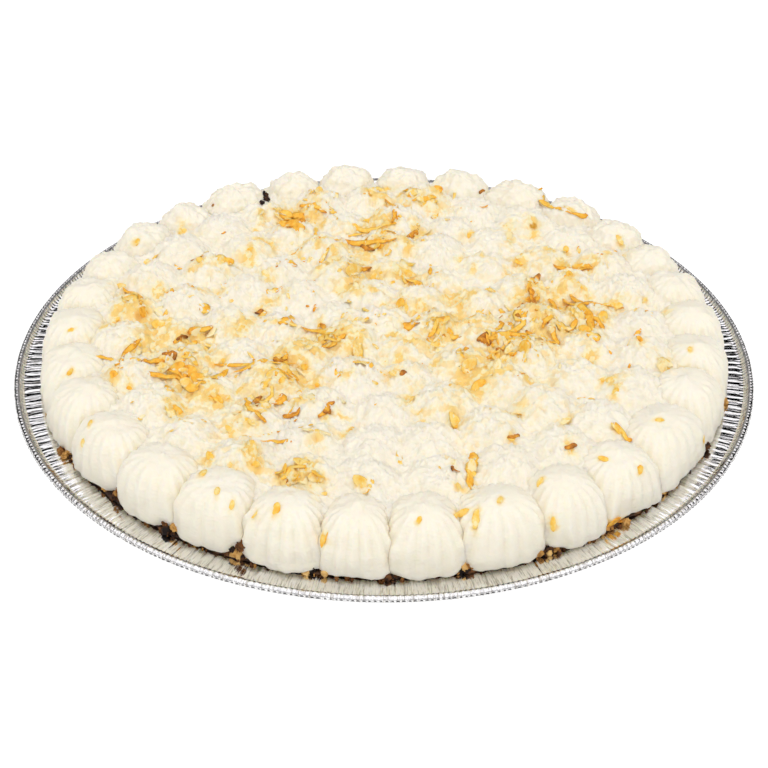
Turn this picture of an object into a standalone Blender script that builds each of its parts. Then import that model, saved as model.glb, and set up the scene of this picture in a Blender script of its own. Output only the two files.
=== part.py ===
# Coconut cream pie in its own foil tin, at real size, in metres, +Z up.
# The origin is the centre of the tin's underside, on the surface that the pie stands on.
# The front of the pie faces -Y. Angles are in degrees, counted from +X towards +Y.

import math
import random

import bmesh
import bpy
from mathutils import Matrix, Vector
from mathutils.bvhtree import BVHTree
from mathutils.geometry import delaunay_2d_cdt

# Driving dimensions of the tin: a 10 inch foil pie tin, 244 mm across its curled edge
RIM_RADIUS = 0.122
RIM_HEIGHT = 0.027
CURL_RADIUS = 0.0013
FOIL_THICKNESS = 0.0004
FLOOR_RADIUS = 0.0865
FLOOR_CORNER = 0.0016
WALL_TOP_RADIUS = 0.1102
FLANGE_RADIUS = 0.1116
FLANGE_DROP = 0.0013
TURN_STEPS = 60

# The crust fills the tin and ends in a thin broken edge on the flange
CRUST_TOP = 0.0270
CRUST_EDGE_RADIUS = 0.1124
CRUST_EDGE_ROUGHNESS = 0.0007
GAP = 0.0003

# The outer ring of piped rosettes: the angles are the seams between neighbours
SEAM_ANGLES = (
    -149.0, -136.0, -123.5, -111.5, -99.5, -89.0, -78.0, -65.0, -54.0, -42.0,
    -27.5, -15.5, -4.0, 7.5, 19.0, 29.5, 41.5, 54.0, 67.5, 80.0,
    92.0, 104.0, 118.0, 130.0, 141.0, 153.5, 164.0, 175.5, 187.5, 199.5,
)
OUTER_RING_RADIUS = 0.1024
OUTER_DEPTH = 0.0112
OUTER_PRESS = 1.08
OUTER_HEIGHT = 0.0164
OUTER_FLUTES = 9
OUTER_GROOVE = 0.09
OUTER_LEAN = 0.0010

# The piping is heaped higher at the front than at the back
HEAP_SLOPE = 0.016

# The inner rings of rosettes: radius of the ring, how many stand in it
INNER_RINGS = ((0.0854, 27), (0.0680, 22), (0.0508, 16), (0.0340, 11), (0.0170, 6), (0.0, 1))
INNER_RADIUS = 0.0088
INNER_TOP = 0.0436
INNER_DEPTH = 0.0058
INNER_FLUTES = 5
BED_RADIUS = 0.1010
BED_EDGE_TOP = 0.0345
BED_FOOT_RADIUS = 0.1070
BED_CORNERS = 60

# Toasted coconut: plan place of each thick patch in metres, its spread, and its strips
COCONUT_PATCHES = (
    (-0.061, -0.031, 0.016, 5), (-0.033, -0.042, 0.014, 3), (-0.031, -0.076, 0.010, 3),
    (0.051, -0.003, 0.016, 5), (0.031, -0.029, 0.010, 2), (-0.018, -0.011, 0.011, 3),
    (0.006, 0.024, 0.014, 3), (-0.031, 0.067, 0.011, 2), (0.014, 0.078, 0.013, 3),
    (-0.004, 0.050, 0.009, 2), (0.062, 0.022, 0.013, 2), (0.028, -0.070, 0.013, 2),
    (-0.082, 0.012, 0.009, 1),
)
STRIP_LENGTH = (0.008, 0.018)
STRIP_WIDTH = (0.0018, 0.0026)
STRIP_THICKNESS = 0.0010
STRIP_SINK = 0.0002

SEED = 27


def clear_scene():
    for thing in list(bpy.data.objects):
        bpy.data.objects.remove(thing)


def new_collection(name):
    collection = bpy.data.collections.new(name)
    bpy.context.scene.collection.children.link(collection)
    return collection


def plain_material(name, colour, roughness, metallic=0.0):
    material = bpy.data.materials.new(name)
    material.use_nodes = True
    shader = material.node_tree.nodes["Principled BSDF"]
    shader.inputs["Base Color"].default_value = (*colour, 1.0)
    shader.inputs["Roughness"].default_value = roughness
    shader.inputs["Metallic"].default_value = metallic
    return material


def object_from_bmesh(bm, name, collection):
    mesh = bpy.data.meshes.new(name)
    bm.to_mesh(mesh)
    bm.free()
    thing = bpy.data.objects.new(name, mesh)
    collection.objects.link(thing)
    return thing


def turned_object(name, outline, collection):
    # The outline is a list of (radius, height), from the axis over the top and down the outside
    mesh = bpy.data.meshes.new(name)
    points = [(radius, 0.0, height) for radius, height in outline]
    edges = [(i, i + 1) for i in range(len(points) - 1)]
    mesh.from_pydata(points, edges, [])
    thing = bpy.data.objects.new(name, mesh)
    collection.objects.link(thing)
    screw = thing.modifiers.new("turn", "SCREW")
    screw.axis = "Z"
    screw.angle = 2 * math.pi
    screw.steps = TURN_STEPS
    screw.render_steps = TURN_STEPS
    screw.use_merge_vertices = True
    screw.merge_threshold = 0.00001
    screw.use_smooth_shade = True
    return thing


def apply_modifiers(thing):
    depsgraph = bpy.context.evaluated_depsgraph_get()
    mesh = bpy.data.meshes.new_from_object(thing.evaluated_get(depsgraph))
    thing.modifiers.clear()
    thing.data = mesh


def offset_line(points, distance):
    # Moves a line in the (radius, height) plane to its upper side, mitred at the corners
    moved = []
    for i, point in enumerate(points):
        before = point - points[i - 1] if i > 0 else points[1] - point
        after = points[i + 1] - point if i < len(points) - 1 else before
        normals = [Vector((-step.y, step.x)).normalized() for step in (before, after)]
        middle = (normals[0] + normals[1]).normalized()
        moved.append(point + middle * (distance / middle.dot(normals[0])))
    moved[0].x = 0.0
    return moved


def tin_midline():
    half = FOIL_THICKNESS / 2
    flange_height = RIM_HEIGHT - FLANGE_DROP
    curl_start = RIM_RADIUS - 1.9 * CURL_RADIUS
    return [
        Vector((0.0, half)),
        Vector((FLOOR_RADIUS, half)),
        Vector((FLOOR_RADIUS + FLOOR_CORNER, half + FLOOR_CORNER)),
        Vector((WALL_TOP_RADIUS, flange_height - 0.0009)),
        Vector((FLANGE_RADIUS, flange_height)),
        Vector((curl_start, RIM_HEIGHT - 0.0002)),
    ]


def make_tin(collection):
    midline = tin_midline()
    upper = offset_line(midline, FOIL_THICKNESS / 2)
    lower = offset_line(midline, -FOIL_THICKNESS / 2)
    curl = []
    for degrees in (140, 70, 0, -70, -140):
        angle = math.radians(degrees)
        radius = RIM_RADIUS - CURL_RADIUS + CURL_RADIUS * math.cos(angle)
        curl.append(Vector((radius, RIM_HEIGHT + CURL_RADIUS * math.sin(angle))))
    tin = turned_object("foil_tin", upper + curl + lower[::-1], collection)
    tin.data.materials.append(plain_material("foil", (0.80, 0.80, 0.79), 0.30, 1.0))
    return tin


def make_crust(collection):
    wall = offset_line(tin_midline(), FOIL_THICKNESS / 2 + GAP)
    flange = wall[-1] - wall[-2]
    share = (CRUST_EDGE_RADIUS - wall[-2].x) / flange.x
    lip = wall[-2] + flange * share
    top = [Vector((0.0, CRUST_TOP)), Vector((CRUST_EDGE_RADIUS, CRUST_TOP))]
    crust = turned_object("crust", top + [lip] + wall[-2::-1], collection)
    apply_modifiers(crust)
    rng = random.Random(SEED)
    for vertex in crust.data.vertices:
        radius = math.hypot(vertex.co.x, vertex.co.y)
        if radius > 0.112 and vertex.co.z > CRUST_TOP - 0.0001:
            reach = 1 + rng.uniform(-1, 1) * CRUST_EDGE_ROUGHNESS / radius
            vertex.co.x *= reach
            vertex.co.y *= reach
            vertex.co.z -= rng.uniform(0, 1) * CRUST_EDGE_ROUGHNESS / 3
    crust.data.materials.append(plain_material("baked_crust", (0.36, 0.17, 0.06), 0.8))
    return crust


def inner_rosettes():
    # Plan place, radius, top height and turn of every rosette inside the outer ring
    rng = random.Random(SEED + 1)
    rosettes = []
    for ring_radius, count in INNER_RINGS:
        phase = rng.uniform(0, 2 * math.pi)
        for i in range(count):
            angle = phase + 2 * math.pi * (i + rng.uniform(-0.08, 0.08)) / count
            reach = ring_radius + rng.uniform(-0.0010, 0.0010)
            place = Vector((reach * math.cos(angle), reach * math.sin(angle)))
            radius = INNER_RADIUS * rng.uniform(0.94, 1.06)
            top = INNER_TOP - HEAP_SLOPE * place.y + rng.uniform(-0.0012, 0.0010)
            rosettes.append((place, radius, top, rng.uniform(0, math.pi)))
    return rosettes


def outer_places():
    # Angle of each outer rosette's middle, and half its width along the ring
    places = []
    for i, start in enumerate(SEAM_ANGLES):
        end = SEAM_ANGLES[(i + 1) % len(SEAM_ANGLES)]
        width = (end - start) % 360
        middle = math.radians(start + width / 2)
        places.append((middle, OUTER_RING_RADIUS * math.radians(width) / 2))
    return places


def make_bed(rosettes, collection):
    # The cream inside the outer ring: rosettes pressed together, as one sheet over a flat foot
    points = []
    heights = []

    def put(x, y, height):
        points.append(Vector((x, y)))
        heights.append(height)

    for i in range(BED_CORNERS):
        angle = 2 * math.pi * i / BED_CORNERS
        put(BED_RADIUS * math.cos(angle), BED_RADIUS * math.sin(angle), BED_EDGE_TOP)
    for place, radius, top, turn in rosettes:
        put(place.x, place.y, top)
        for i in range(2 * INNER_FLUTES):
            angle = turn + math.pi * i / INNER_FLUTES
            share, drop = (0.70, 0.28) if i % 2 == 0 else (0.58, 0.34)
            put(place.x + radius * share * math.cos(angle), place.y + radius * share * math.sin(angle),
                top - INNER_DEPTH * drop)

    # Low points lie between two neighbours and in the middle of three
    centres = [place for place, _, _, _ in rosettes]
    centres += [Vector((OUTER_RING_RADIUS * math.cos(a), OUTER_RING_RADIUS * math.sin(a)))
                for a, _ in outer_places()]
    _, links, corners, _, _, _ = delaunay_2d_cdt(centres, [], [], 0, 1e-6)
    groups = [pair for pair in links if (centres[pair[0]] - centres[pair[1]]).length < 0.024]
    for group in groups + corners:
        middle = sum((centres[k] for k in group), Vector((0, 0))) / len(group)
        depth = INNER_DEPTH * (0.8 if len(group) == 2 else 1.0)
        if middle.length < BED_RADIUS - 0.003:
            put(middle.x, middle.y, INNER_TOP - HEAP_SLOPE * middle.y - depth)

    flat, _, faces, sources, _, _ = delaunay_2d_cdt(points, [], [], 0, 1e-6)
    bm = bmesh.new()
    verts = [bm.verts.new((p.x, p.y, heights[sources[i][0]])) for i, p in enumerate(flat)]
    for face in faces:
        bm.faces.new([verts[k] for k in face])
    foot = CRUST_TOP + GAP + 0.0004
    for radius, height in ((BED_FOOT_RADIUS, foot + 0.0012), (BED_FOOT_RADIUS, foot)):
        border = [edge for edge in bm.edges if edge.is_boundary]
        grown = bmesh.ops.extrude_edge_only(bm, edges=border)["geom"]
        for vertex in [piece for piece in grown if isinstance(piece, bmesh.types.BMVert)]:
            ray = Vector((vertex.co.x, vertex.co.y, 0)).normalized() * radius
            vertex.co = (ray.x, ray.y, height)
    bmesh.ops.holes_fill(bm, edges=[edge for edge in bm.edges if edge.is_boundary], sides=0)
    bmesh.ops.recalc_face_normals(bm, faces=bm.faces)
    return object_from_bmesh(bm, "whipped_cream", collection)


def make_outer_rosette(name, middle, half_width, rng, collection):
    # A dome with deep flutes, shaped from a sphere: share of the radius and of the height by row
    rows = ((0.0, 0.0), (0.98, 0.0), (1.03, 0.25), (0.96, 0.64), (0.62, 0.93), (0.0, 1.0))
    bm = bmesh.new()
    corners = 2 * OUTER_FLUTES
    bmesh.ops.create_uvsphere(bm, u_segments=corners, v_segments=len(rows) - 1, radius=1.0)
    turn = rng.uniform(0, math.pi)
    heap = -HEAP_SLOPE * OUTER_RING_RADIUS * math.sin(middle)
    height = OUTER_HEIGHT * rng.uniform(0.96, 1.04) + heap
    for vertex in bm.verts:
        row = round((1 - math.acos(max(-1.0, min(1.0, vertex.co.z))) / math.pi) * (len(rows) - 1))
        angle = math.atan2(vertex.co.y, vertex.co.x)
        groove = round(angle * corners / (2 * math.pi)) % 2
        share, lift = rows[row]
        share *= 1 - OUTER_GROOVE * groove
        vertex.co = (
            share * math.cos(angle + turn) * OUTER_DEPTH - OUTER_LEAN * lift,
            share * math.sin(angle + turn) * half_width * OUTER_PRESS,
            lift * height,
        )
    foot = CRUST_TOP + GAP + rng.uniform(0, 0.0002)
    bm.transform(Matrix.Rotation(middle, 4, "Z") @ Matrix.Translation((OUTER_RING_RADIUS, 0, foot)))
    return object_from_bmesh(bm, name, collection)


def land_tree(things):
    # The cream's surface before it is joined, to lay the coconut on
    land = bmesh.new()
    for thing in things:
        land.from_mesh(thing.data)
    tree = BVHTree.FromBMesh(land)
    land.free()
    return tree


def make_strip(name, ground, normal, rng, collection):
    # A flat strip in two halves, bent sideways and arched along its length
    length = rng.uniform(*STRIP_LENGTH)
    width = rng.uniform(*STRIP_WIDTH)
    bend = rng.uniform(-0.25, 0.25) * length
    bm = bmesh.new()
    bmesh.ops.create_cube(bm, size=1.0)
    bmesh.ops.bisect_plane(bm, geom=bm.verts[:] + bm.edges[:] + bm.faces[:], plane_co=(0, 0, 0), plane_no=(1, 0, 0))
    for vertex in bm.verts:
        along = vertex.co.x * 2
        vertex.co = (
            vertex.co.x * length,
            vertex.co.y * width * (1 - 0.3 * abs(along)) + bend * along * along,
            vertex.co.z * STRIP_THICKNESS - 0.06 * length * along * along,
        )
    slope = Vector((0, 0, 1)).rotation_difference((normal + Vector((0, 0, 1.5))).normalized())
    turn = Matrix.Rotation(rng.uniform(0, 2 * math.pi), 4, "Z")
    lift = Matrix.Translation(ground + Vector((0, 0, STRIP_THICKNESS / 2 - STRIP_SINK)))
    bm.transform(lift @ slope.to_matrix().to_4x4() @ turn)
    return object_from_bmesh(bm, name, collection)


def keep_largest_shell(mesh):
    # Drops loose scraps and fills hollows that the union sealed
    bm = bmesh.new()
    bm.from_mesh(mesh)
    shells = []
    waiting = set(bm.verts)
    while waiting:
        shell = set()
        front = [waiting.pop()]
        while front:
            vertex = front.pop()
            shell.add(vertex)
            for edge in vertex.link_edges:
                other = edge.other_vert(vertex)
                if other in waiting:
                    waiting.remove(other)
                    front.append(other)
        shells.append(shell)
    shells.sort(key=len)
    scraps = [vertex for shell in shells[:-1] for vertex in shell]
    bmesh.ops.delete(bm, geom=scraps, context="VERTS")
    bm.to_mesh(mesh)
    bm.free()


def make_cream(collection):
    rng = random.Random(SEED + 2)
    toppings = new_collection("cream_toppings")
    cream = make_bed(inner_rosettes(), collection)
    land = [cream]
    for i, (middle, half_width) in enumerate(outer_places()):
        land.append(make_outer_rosette(f"rosette_{i:02d}", middle, half_width, rng, toppings))

    tree = land_tree(land)
    for patch, (x, y, spread, count) in enumerate(COCONUT_PATCHES):
        for i in range(count):
            start = Vector((x + rng.gauss(0, spread / 1.6), y + rng.gauss(0, spread / 1.6), 0.1))
            ground, normal, _, _ = tree.ray_cast(start, Vector((0, 0, -1)))
            make_strip(f"strip_{patch:02d}_{i}", ground, normal, rng, toppings)

    union = cream.modifiers.new("join", "BOOLEAN")
    union.operation = "UNION"
    union.operand_type = "COLLECTION"
    union.collection = toppings
    union.solver = "MANIFOLD"
    apply_modifiers(cream)
    for thing in list(toppings.objects):
        bpy.data.objects.remove(thing)
    bpy.data.collections.remove(toppings)
    keep_largest_shell(cream.data)
    cream.data.materials.clear()
    cream.data.materials.append(plain_material("cream", (0.92, 0.87, 0.72), 0.6))
    return cream


def main():
    clear_scene()
    pie = new_collection("coconut_cream_pie")
    make_tin(pie)
    make_crust(pie)
    make_cream(pie)


main()
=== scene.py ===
import math
import random

import bmesh
import bpy
import numpy as np
from mathutils import Matrix, Vector, noise
from mathutils.bvhtree import BVHTree


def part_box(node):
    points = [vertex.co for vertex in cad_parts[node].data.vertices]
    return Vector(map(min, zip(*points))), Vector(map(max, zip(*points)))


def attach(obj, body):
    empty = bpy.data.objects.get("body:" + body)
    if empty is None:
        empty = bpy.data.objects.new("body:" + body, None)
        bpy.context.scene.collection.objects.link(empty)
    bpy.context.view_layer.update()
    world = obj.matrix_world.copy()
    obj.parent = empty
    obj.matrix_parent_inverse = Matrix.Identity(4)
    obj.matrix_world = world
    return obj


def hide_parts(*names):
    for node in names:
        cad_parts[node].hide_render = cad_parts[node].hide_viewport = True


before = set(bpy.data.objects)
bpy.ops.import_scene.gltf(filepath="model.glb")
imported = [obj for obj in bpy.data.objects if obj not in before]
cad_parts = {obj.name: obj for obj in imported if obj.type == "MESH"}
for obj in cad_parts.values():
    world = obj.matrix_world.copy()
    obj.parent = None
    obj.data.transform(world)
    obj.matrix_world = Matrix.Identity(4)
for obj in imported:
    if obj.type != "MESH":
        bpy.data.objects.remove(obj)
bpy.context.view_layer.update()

# Everything is in metres; the front of the pie faces -Y


# How nodes are written
class Wire:
    # One output of a node; arithmetic on it adds Math nodes to the same tree
    def __init__(self, kit, node, socket):
        self.kit = kit
        self.node = node
        self.socket = socket

    def other(self, name):
        return Wire(self.kit, self.node, pickSocket(self.node.outputs, name))

    def __add__(self, value):
        return self.kit.math("ADD", self, value)

    def __radd__(self, value):
        return self.kit.math("ADD", value, self)

    def __sub__(self, value):
        return self.kit.math("SUBTRACT", self, value)

    def __rsub__(self, value):
        return self.kit.math("SUBTRACT", value, self)

    def __mul__(self, value):
        return self.kit.math("MULTIPLY", self, value)

    def __rmul__(self, value):
        return self.kit.math("MULTIPLY", value, self)

    def __truediv__(self, value):
        return self.kit.math("DIVIDE", self, value)

    def __pow__(self, value):
        return self.kit.math("POWER", self, value)


def pickSocket(sockets, key):
    if isinstance(key, int):
        return sockets[key]
    return next(s for s in sockets if s.enabled and s.name == key)


class NodeKit:
    # Adds nodes to one tree
    def __init__(self, tree):
        self.tree = tree

    def add(self, kind, settings=None, values=None):
        node = self.tree.nodes.new(kind)
        for name, value in (settings or {}).items():
            if name == "stops":
                setStops(node.color_ramp, value)
            else:
                setattr(node, name, value)
        for key, value in (values or {}).items():
            socket = pickSocket(node.inputs, key)
            if isinstance(value, Wire):
                self.tree.links.new(value.socket, socket)
            else:
                socket.default_value = value
        outputs = [s for s in node.outputs if s.enabled]
        return Wire(self, node, outputs[0] if outputs else None)

    # Shorter words for the nodes that come up often
    def math(self, operation, *values):
        return self.add("ShaderNodeMath", {"operation": operation}, dict(enumerate(values)))

    def noise(self, place, scale, detail, roughness=0.5):
        return self.add("ShaderNodeTexNoise", {}, {
            "Vector": place, "Scale": scale, "Detail": detail, "Roughness": roughness})

    def blend(self, factor, first, second):
        a, b = (colour if isinstance(colour, Wire) else (*colour, 1.0) for colour in (first, second))
        return self.add("ShaderNodeMix", {"data_type": "RGBA"}, {"Factor": factor, "A": a, "B": b})

    def fade(self, value, low, high, kind="SMOOTHSTEP"):
        # From 0 at low to 1 at high
        return self.add("ShaderNodeMapRange", {"interpolation_type": kind}, {
            "Value": value, "From Min": low, "From Max": high})

    def ramp(self, value, stops):
        return self.add("ShaderNodeValToRGB", {"stops": stops}, {"Fac": value})

    def bump(self, height, strength, distance):
        return self.add("ShaderNodeBump", {}, {"Height": height, "Strength": strength, "Distance": distance})

    def split(self, vector):
        parts = self.add("ShaderNodeSeparateXYZ", {}, {"Vector": vector})
        return parts, parts.other("Y"), parts.other("Z")

    def join(self, x=0.0, y=0.0, z=0.0):
        return self.add("ShaderNodeCombineXYZ", {}, {"X": x, "Y": y, "Z": z})

    def vectors(self, operation, first, second):
        key = "Scale" if operation == "SCALE" else 1
        return self.add("ShaderNodeVectorMath", {"operation": operation}, {0: first, key: second})

    def objectPlace(self):
        return self.add("ShaderNodeTexCoord").other("Object")

    def painted(self, name):
        # An attribute of the mesh, read by a material
        return self.add("ShaderNodeAttribute", {"attribute_name": name}).other("Fac")

    def named(self, name, kind="FLOAT"):
        # An attribute of the mesh, read by geometry nodes
        return self.add("GeometryNodeInputNamedAttribute", {"data_type": kind}, {"Name": name})

    def store(self, geometry, name, value):
        return self.add("GeometryNodeStoreNamedAttribute", {"data_type": "FLOAT", "domain": "POINT"}, {
            "Geometry": geometry, "Name": name, "Value": value})

    def move(self, geometry, how, vector):
        # how is Position or Offset
        return self.add("GeometryNodeSetPosition", {}, {"Geometry": geometry, how: vector})

    def smooth(self, geometry):
        return self.add("GeometryNodeSetShadeSmooth", {}, {"Geometry": geometry, "Shade Smooth": True})

    def layOn(self, points, thing, turn, size):
        laid = self.add("GeometryNodeInstanceOnPoints", {}, {
            "Points": points, "Instance": thing, "Rotation": turn, "Scale": size})
        return self.add("GeometryNodeRealizeInstances", {}, {"Geometry": laid})


def setStops(ramp, stops):
    while len(ramp.elements) > 1:
        ramp.elements.remove(ramp.elements[-1])
    for i, (place, colour) in enumerate(stops):
        element = ramp.elements[0] if i == 0 else ramp.elements.new(place)
        element.position = place
        element.color = (*colour, 1.0)


def newMaterial(name):
    material = bpy.data.materials.new(name)
    material.use_nodes = True
    material.node_tree.nodes.clear()
    return material, NodeKit(material.node_tree)


def closeMaterial(kit, values):
    shader = kit.add("ShaderNodeBsdfPrincipled", {}, values)
    kit.add("ShaderNodeOutputMaterial", {}, {"Surface": shader})


def newTree(name, inputs):
    # inputs gives the type of each named input
    tree = bpy.data.node_groups.new(name, "GeometryNodeTree")
    tree.interface.new_socket("Geometry", in_out="INPUT", socket_type="NodeSocketGeometry")
    for label, kind in {**inputs, "Material": "Material"}.items():
        tree.interface.new_socket(label, in_out="INPUT", socket_type="NodeSocket" + kind)
    tree.interface.new_socket("Geometry", in_out="OUTPUT", socket_type="NodeSocketGeometry")
    kit = NodeKit(tree)
    start = kit.add("NodeGroupInput")
    return kit, {s.name: start.other(s.name) for s in start.node.outputs if s.name}


def closeTree(kit, geometry, material):
    solid = kit.add("GeometryNodeRealizeInstances", {}, {"Geometry": geometry})
    painted = kit.add("GeometryNodeSetMaterial", {}, {"Geometry": solid, "Material": material})
    kit.add("NodeGroupOutput", {}, {"Geometry": painted})


def growWith(thing, kit, values):
    # Runs the tree on the object once and keeps the result as its plain mesh
    modifier = thing.modifiers.new("grow", "NODES")
    modifier.node_group = kit.tree
    for item in kit.tree.interface.items_tree:
        if item.in_out == "INPUT" and item.name in values:
            modifier[item.identifier] = values[item.name]
    depsgraph = bpy.context.evaluated_depsgraph_get()
    mesh = bpy.data.meshes.new_from_object(thing.evaluated_get(depsgraph), depsgraph=depsgraph)
    thing.modifiers.clear()
    thing.data = mesh
    turnOutwards(mesh)


# Small helpers for shapes
def newObject(name, mesh):
    thing = bpy.data.objects.new(name, mesh)
    bpy.context.scene.collection.objects.link(thing)
    return thing


def meshFrom(name, points, faces):
    mesh = bpy.data.meshes.new(name)
    mesh.from_pydata([tuple(p) for p in points], [], faces)
    mesh.update()
    return mesh


def gather(groups):
    points, faces = [], []
    for somePoints, someFaces in groups:
        start = len(points)
        points.extend(somePoints)
        faces.extend(tuple(i + start for i in face) for face in someFaces)
    return points, faces


def giveNumbers(mesh, **columns):
    # One number for each point under each name
    for key, values in columns.items():
        mesh.attributes.new(key, "FLOAT", "POINT").data.foreach_set("value", values)


def giveVectors(mesh, **columns):
    for key, vectors in columns.items():
        flat = [number for vector in vectors for number in vector]
        mesh.attributes.new(key, "FLOAT_VECTOR", "POINT").data.foreach_set("vector", flat)


def turnOutwards(mesh):
    # A closed mesh whose volume comes out negative is inside out
    bm = bmesh.new()
    bm.from_mesh(mesh)
    if bm.calc_volume(signed=True) < 0:
        bmesh.ops.reverse_faces(bm, faces=bm.faces)
    bm.to_mesh(mesh)
    bm.free()


def closedObject(name, points, faces, material):
    mesh = meshFrom(name, points, faces)
    turnOutwards(mesh)
    mesh.shade_smooth()
    mesh.materials.append(material)
    return newObject(name, mesh)


def turned(degrees):
    return math.cos(math.radians(degrees)), math.sin(math.radians(degrees))


def smoothLine(points, count):
    # A Catmull-Rom line through the points, with count points evenly along it
    line = [Vector(p) for p in points]
    line = [line[0] * 2 - line[1]] + line + [line[-1] * 2 - line[-2]]
    fine = []
    for i in range(1, len(line) - 2):
        a, b, c, d = line[i - 1:i + 3]
        for k in range(16):
            t = k / 16
            square, cube = 2 * a - 5 * b + 4 * c - d, 3 * b - 3 * c + d - a
            fine.append(0.5 * (2 * b + (c - a) * t + square * t * t + cube * t ** 3))
    fine.append(line[-2])
    steps = [(fine[i + 1] - fine[i]).length for i in range(len(fine) - 1)]
    far = np.concatenate(([0.0], np.cumsum(steps)))
    wanted = np.linspace(0, far[-1], count)
    columns = [[p[axis] for p in fine] for axis in range(len(fine[0]))]
    return np.array([[np.interp(w, far, column) for column in columns] for w in wanted])


def rough(point, scale, seed):
    x, y, z = (part * scale for part in point)
    return noise.noise(Vector((x + seed, y - seed * 0.7, z + seed * 1.3)))


# Camera, at the photograph's viewing angle
camera = {
    "pictureSide": 768,
    "sensorWidth": 36,
    "focalPixels": 1682.9,
    "elevation": 35.21,
    "roll": 0.0045,
    "distance": 0.549,
    "target": (0.0000366, -0.017995, 0.027),
    "nearest": 0.01,
}


def cameraFrame():
    level, rise = turned(camera["elevation"])
    back = Vector((0, -level, rise))
    right = Vector((1, 0, 0))
    up = back.cross(right)
    c, s = math.cos(camera["roll"]), math.sin(camera["roll"])
    return c * right + s * up, c * up - s * right, back, Vector(camera["target"]) + back * camera["distance"]


def makeCamera():
    right, up, back, place = cameraFrame()
    data = bpy.data.cameras.new("camera")
    data.sensor_width = camera["sensorWidth"]
    data.lens = camera["focalPixels"] / camera["pictureSide"] * camera["sensorWidth"]
    data.clip_start = camera["nearest"]
    thing = newObject("camera", data)
    matrix = Matrix((right, up, back)).transposed().to_4x4()
    matrix.translation = place
    thing.matrix_world = matrix
    bpy.context.scene.camera = thing


def sightLine(pixelX, pixelY):
    # The camera's place, and the way from it to a picture point
    right, up, back, place = cameraFrame()
    half = camera["pictureSide"] / 2
    return place, right * (pixelX - half) - up * (pixelY - half) - back * camera["focalPixels"]


def planPoint(pixelX, pixelY, height):
    # Where the line of sight through a picture point meets a level plane
    place, ray = sightLine(pixelX, pixelY)
    return place + ray * ((height - place.z) / ray.z)


makeCamera()
print("camera ready")


# Floor and light
studio = {
    "floorSize": 3.0,
    "floorWhite": 0.32,
    "floorGlow": 0.84,
    "skyTop": 1.24,
    "skySide": 0.16,
    "skyBack": 0.0,
    "skyTint": (1.0, 0.985, 1.02),
    # behind the pie the sky is dark up to the first height and lit from the second
    "darkBehind": (0.60, 0.635),
    "behindFrom": (0.05, 0.45),
    "keyPower": 0.2,
    "keySize": 0.9,
    "keyPlace": (0.40, -0.35, 1.15),
}


def makeFloor():
    material, kit = newMaterial("paleFloor")
    white, size = studio["floorWhite"], studio["floorSize"]
    closeMaterial(kit, {
        "Base Color": (white, white, white, 1), "Roughness": 0.9, "Specular IOR Level": 0.1,
        "Emission Color": (1, 1, 1, 1), "Emission Strength": studio["floorGlow"]})
    corners = [(-size, -size, 0), (size, -size, 0), (size, size, 0), (-size, size, 0)]
    floor = newObject("floor", meshFrom("floor", corners, [(0, 1, 2, 3)]))
    floor.data.materials.append(material)


def makeSky():
    world = bpy.data.worlds.new("softStudio")
    bpy.context.scene.world = world
    world.use_nodes = True
    world.node_tree.nodes.clear()
    kit = NodeKit(world.node_tree)
    _, y, height = kit.split(kit.add("ShaderNodeTexCoord").other("Generated"))
    low, high, dark = (
        [studio[part] * tint for tint in studio["skyTint"]] for part in ("skySide", "skyTop", "skyBack"))
    front = kit.ramp(height, [(0.0, low), (0.5, high)])
    # The studio is unlit low down behind the pie, which gives the foil its dark streaks
    edge, lit = studio["darkBehind"]
    behind = kit.ramp(height, [(0.0, dark), (edge, dark), (lit, high)])
    glow = kit.blend(kit.fade(y, *studio["behindFrom"]), front, behind)
    back = kit.add("ShaderNodeBackground", {}, {"Color": glow, "Strength": 1.0})
    kit.add("ShaderNodeOutputWorld", {}, {"Surface": back})


def makeLamp():
    lamp = bpy.data.lights.new("softbox", "AREA")
    lamp.shape = "DISK"
    lamp.size = studio["keySize"]
    lamp.energy = studio["keyPower"]
    thing = newObject("softbox", lamp)
    thing.location = studio["keyPlace"]
    thing.rotation_euler = (-thing.location).to_track_quat("-Z", "Y").to_euler()


makeFloor()
makeSky()
makeLamp()
view = bpy.context.scene.view_settings
view.view_transform = "Standard"
view.look = "None"
view.exposure = 0.0
view.gamma = 1.0
print("floor and light ready")


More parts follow.
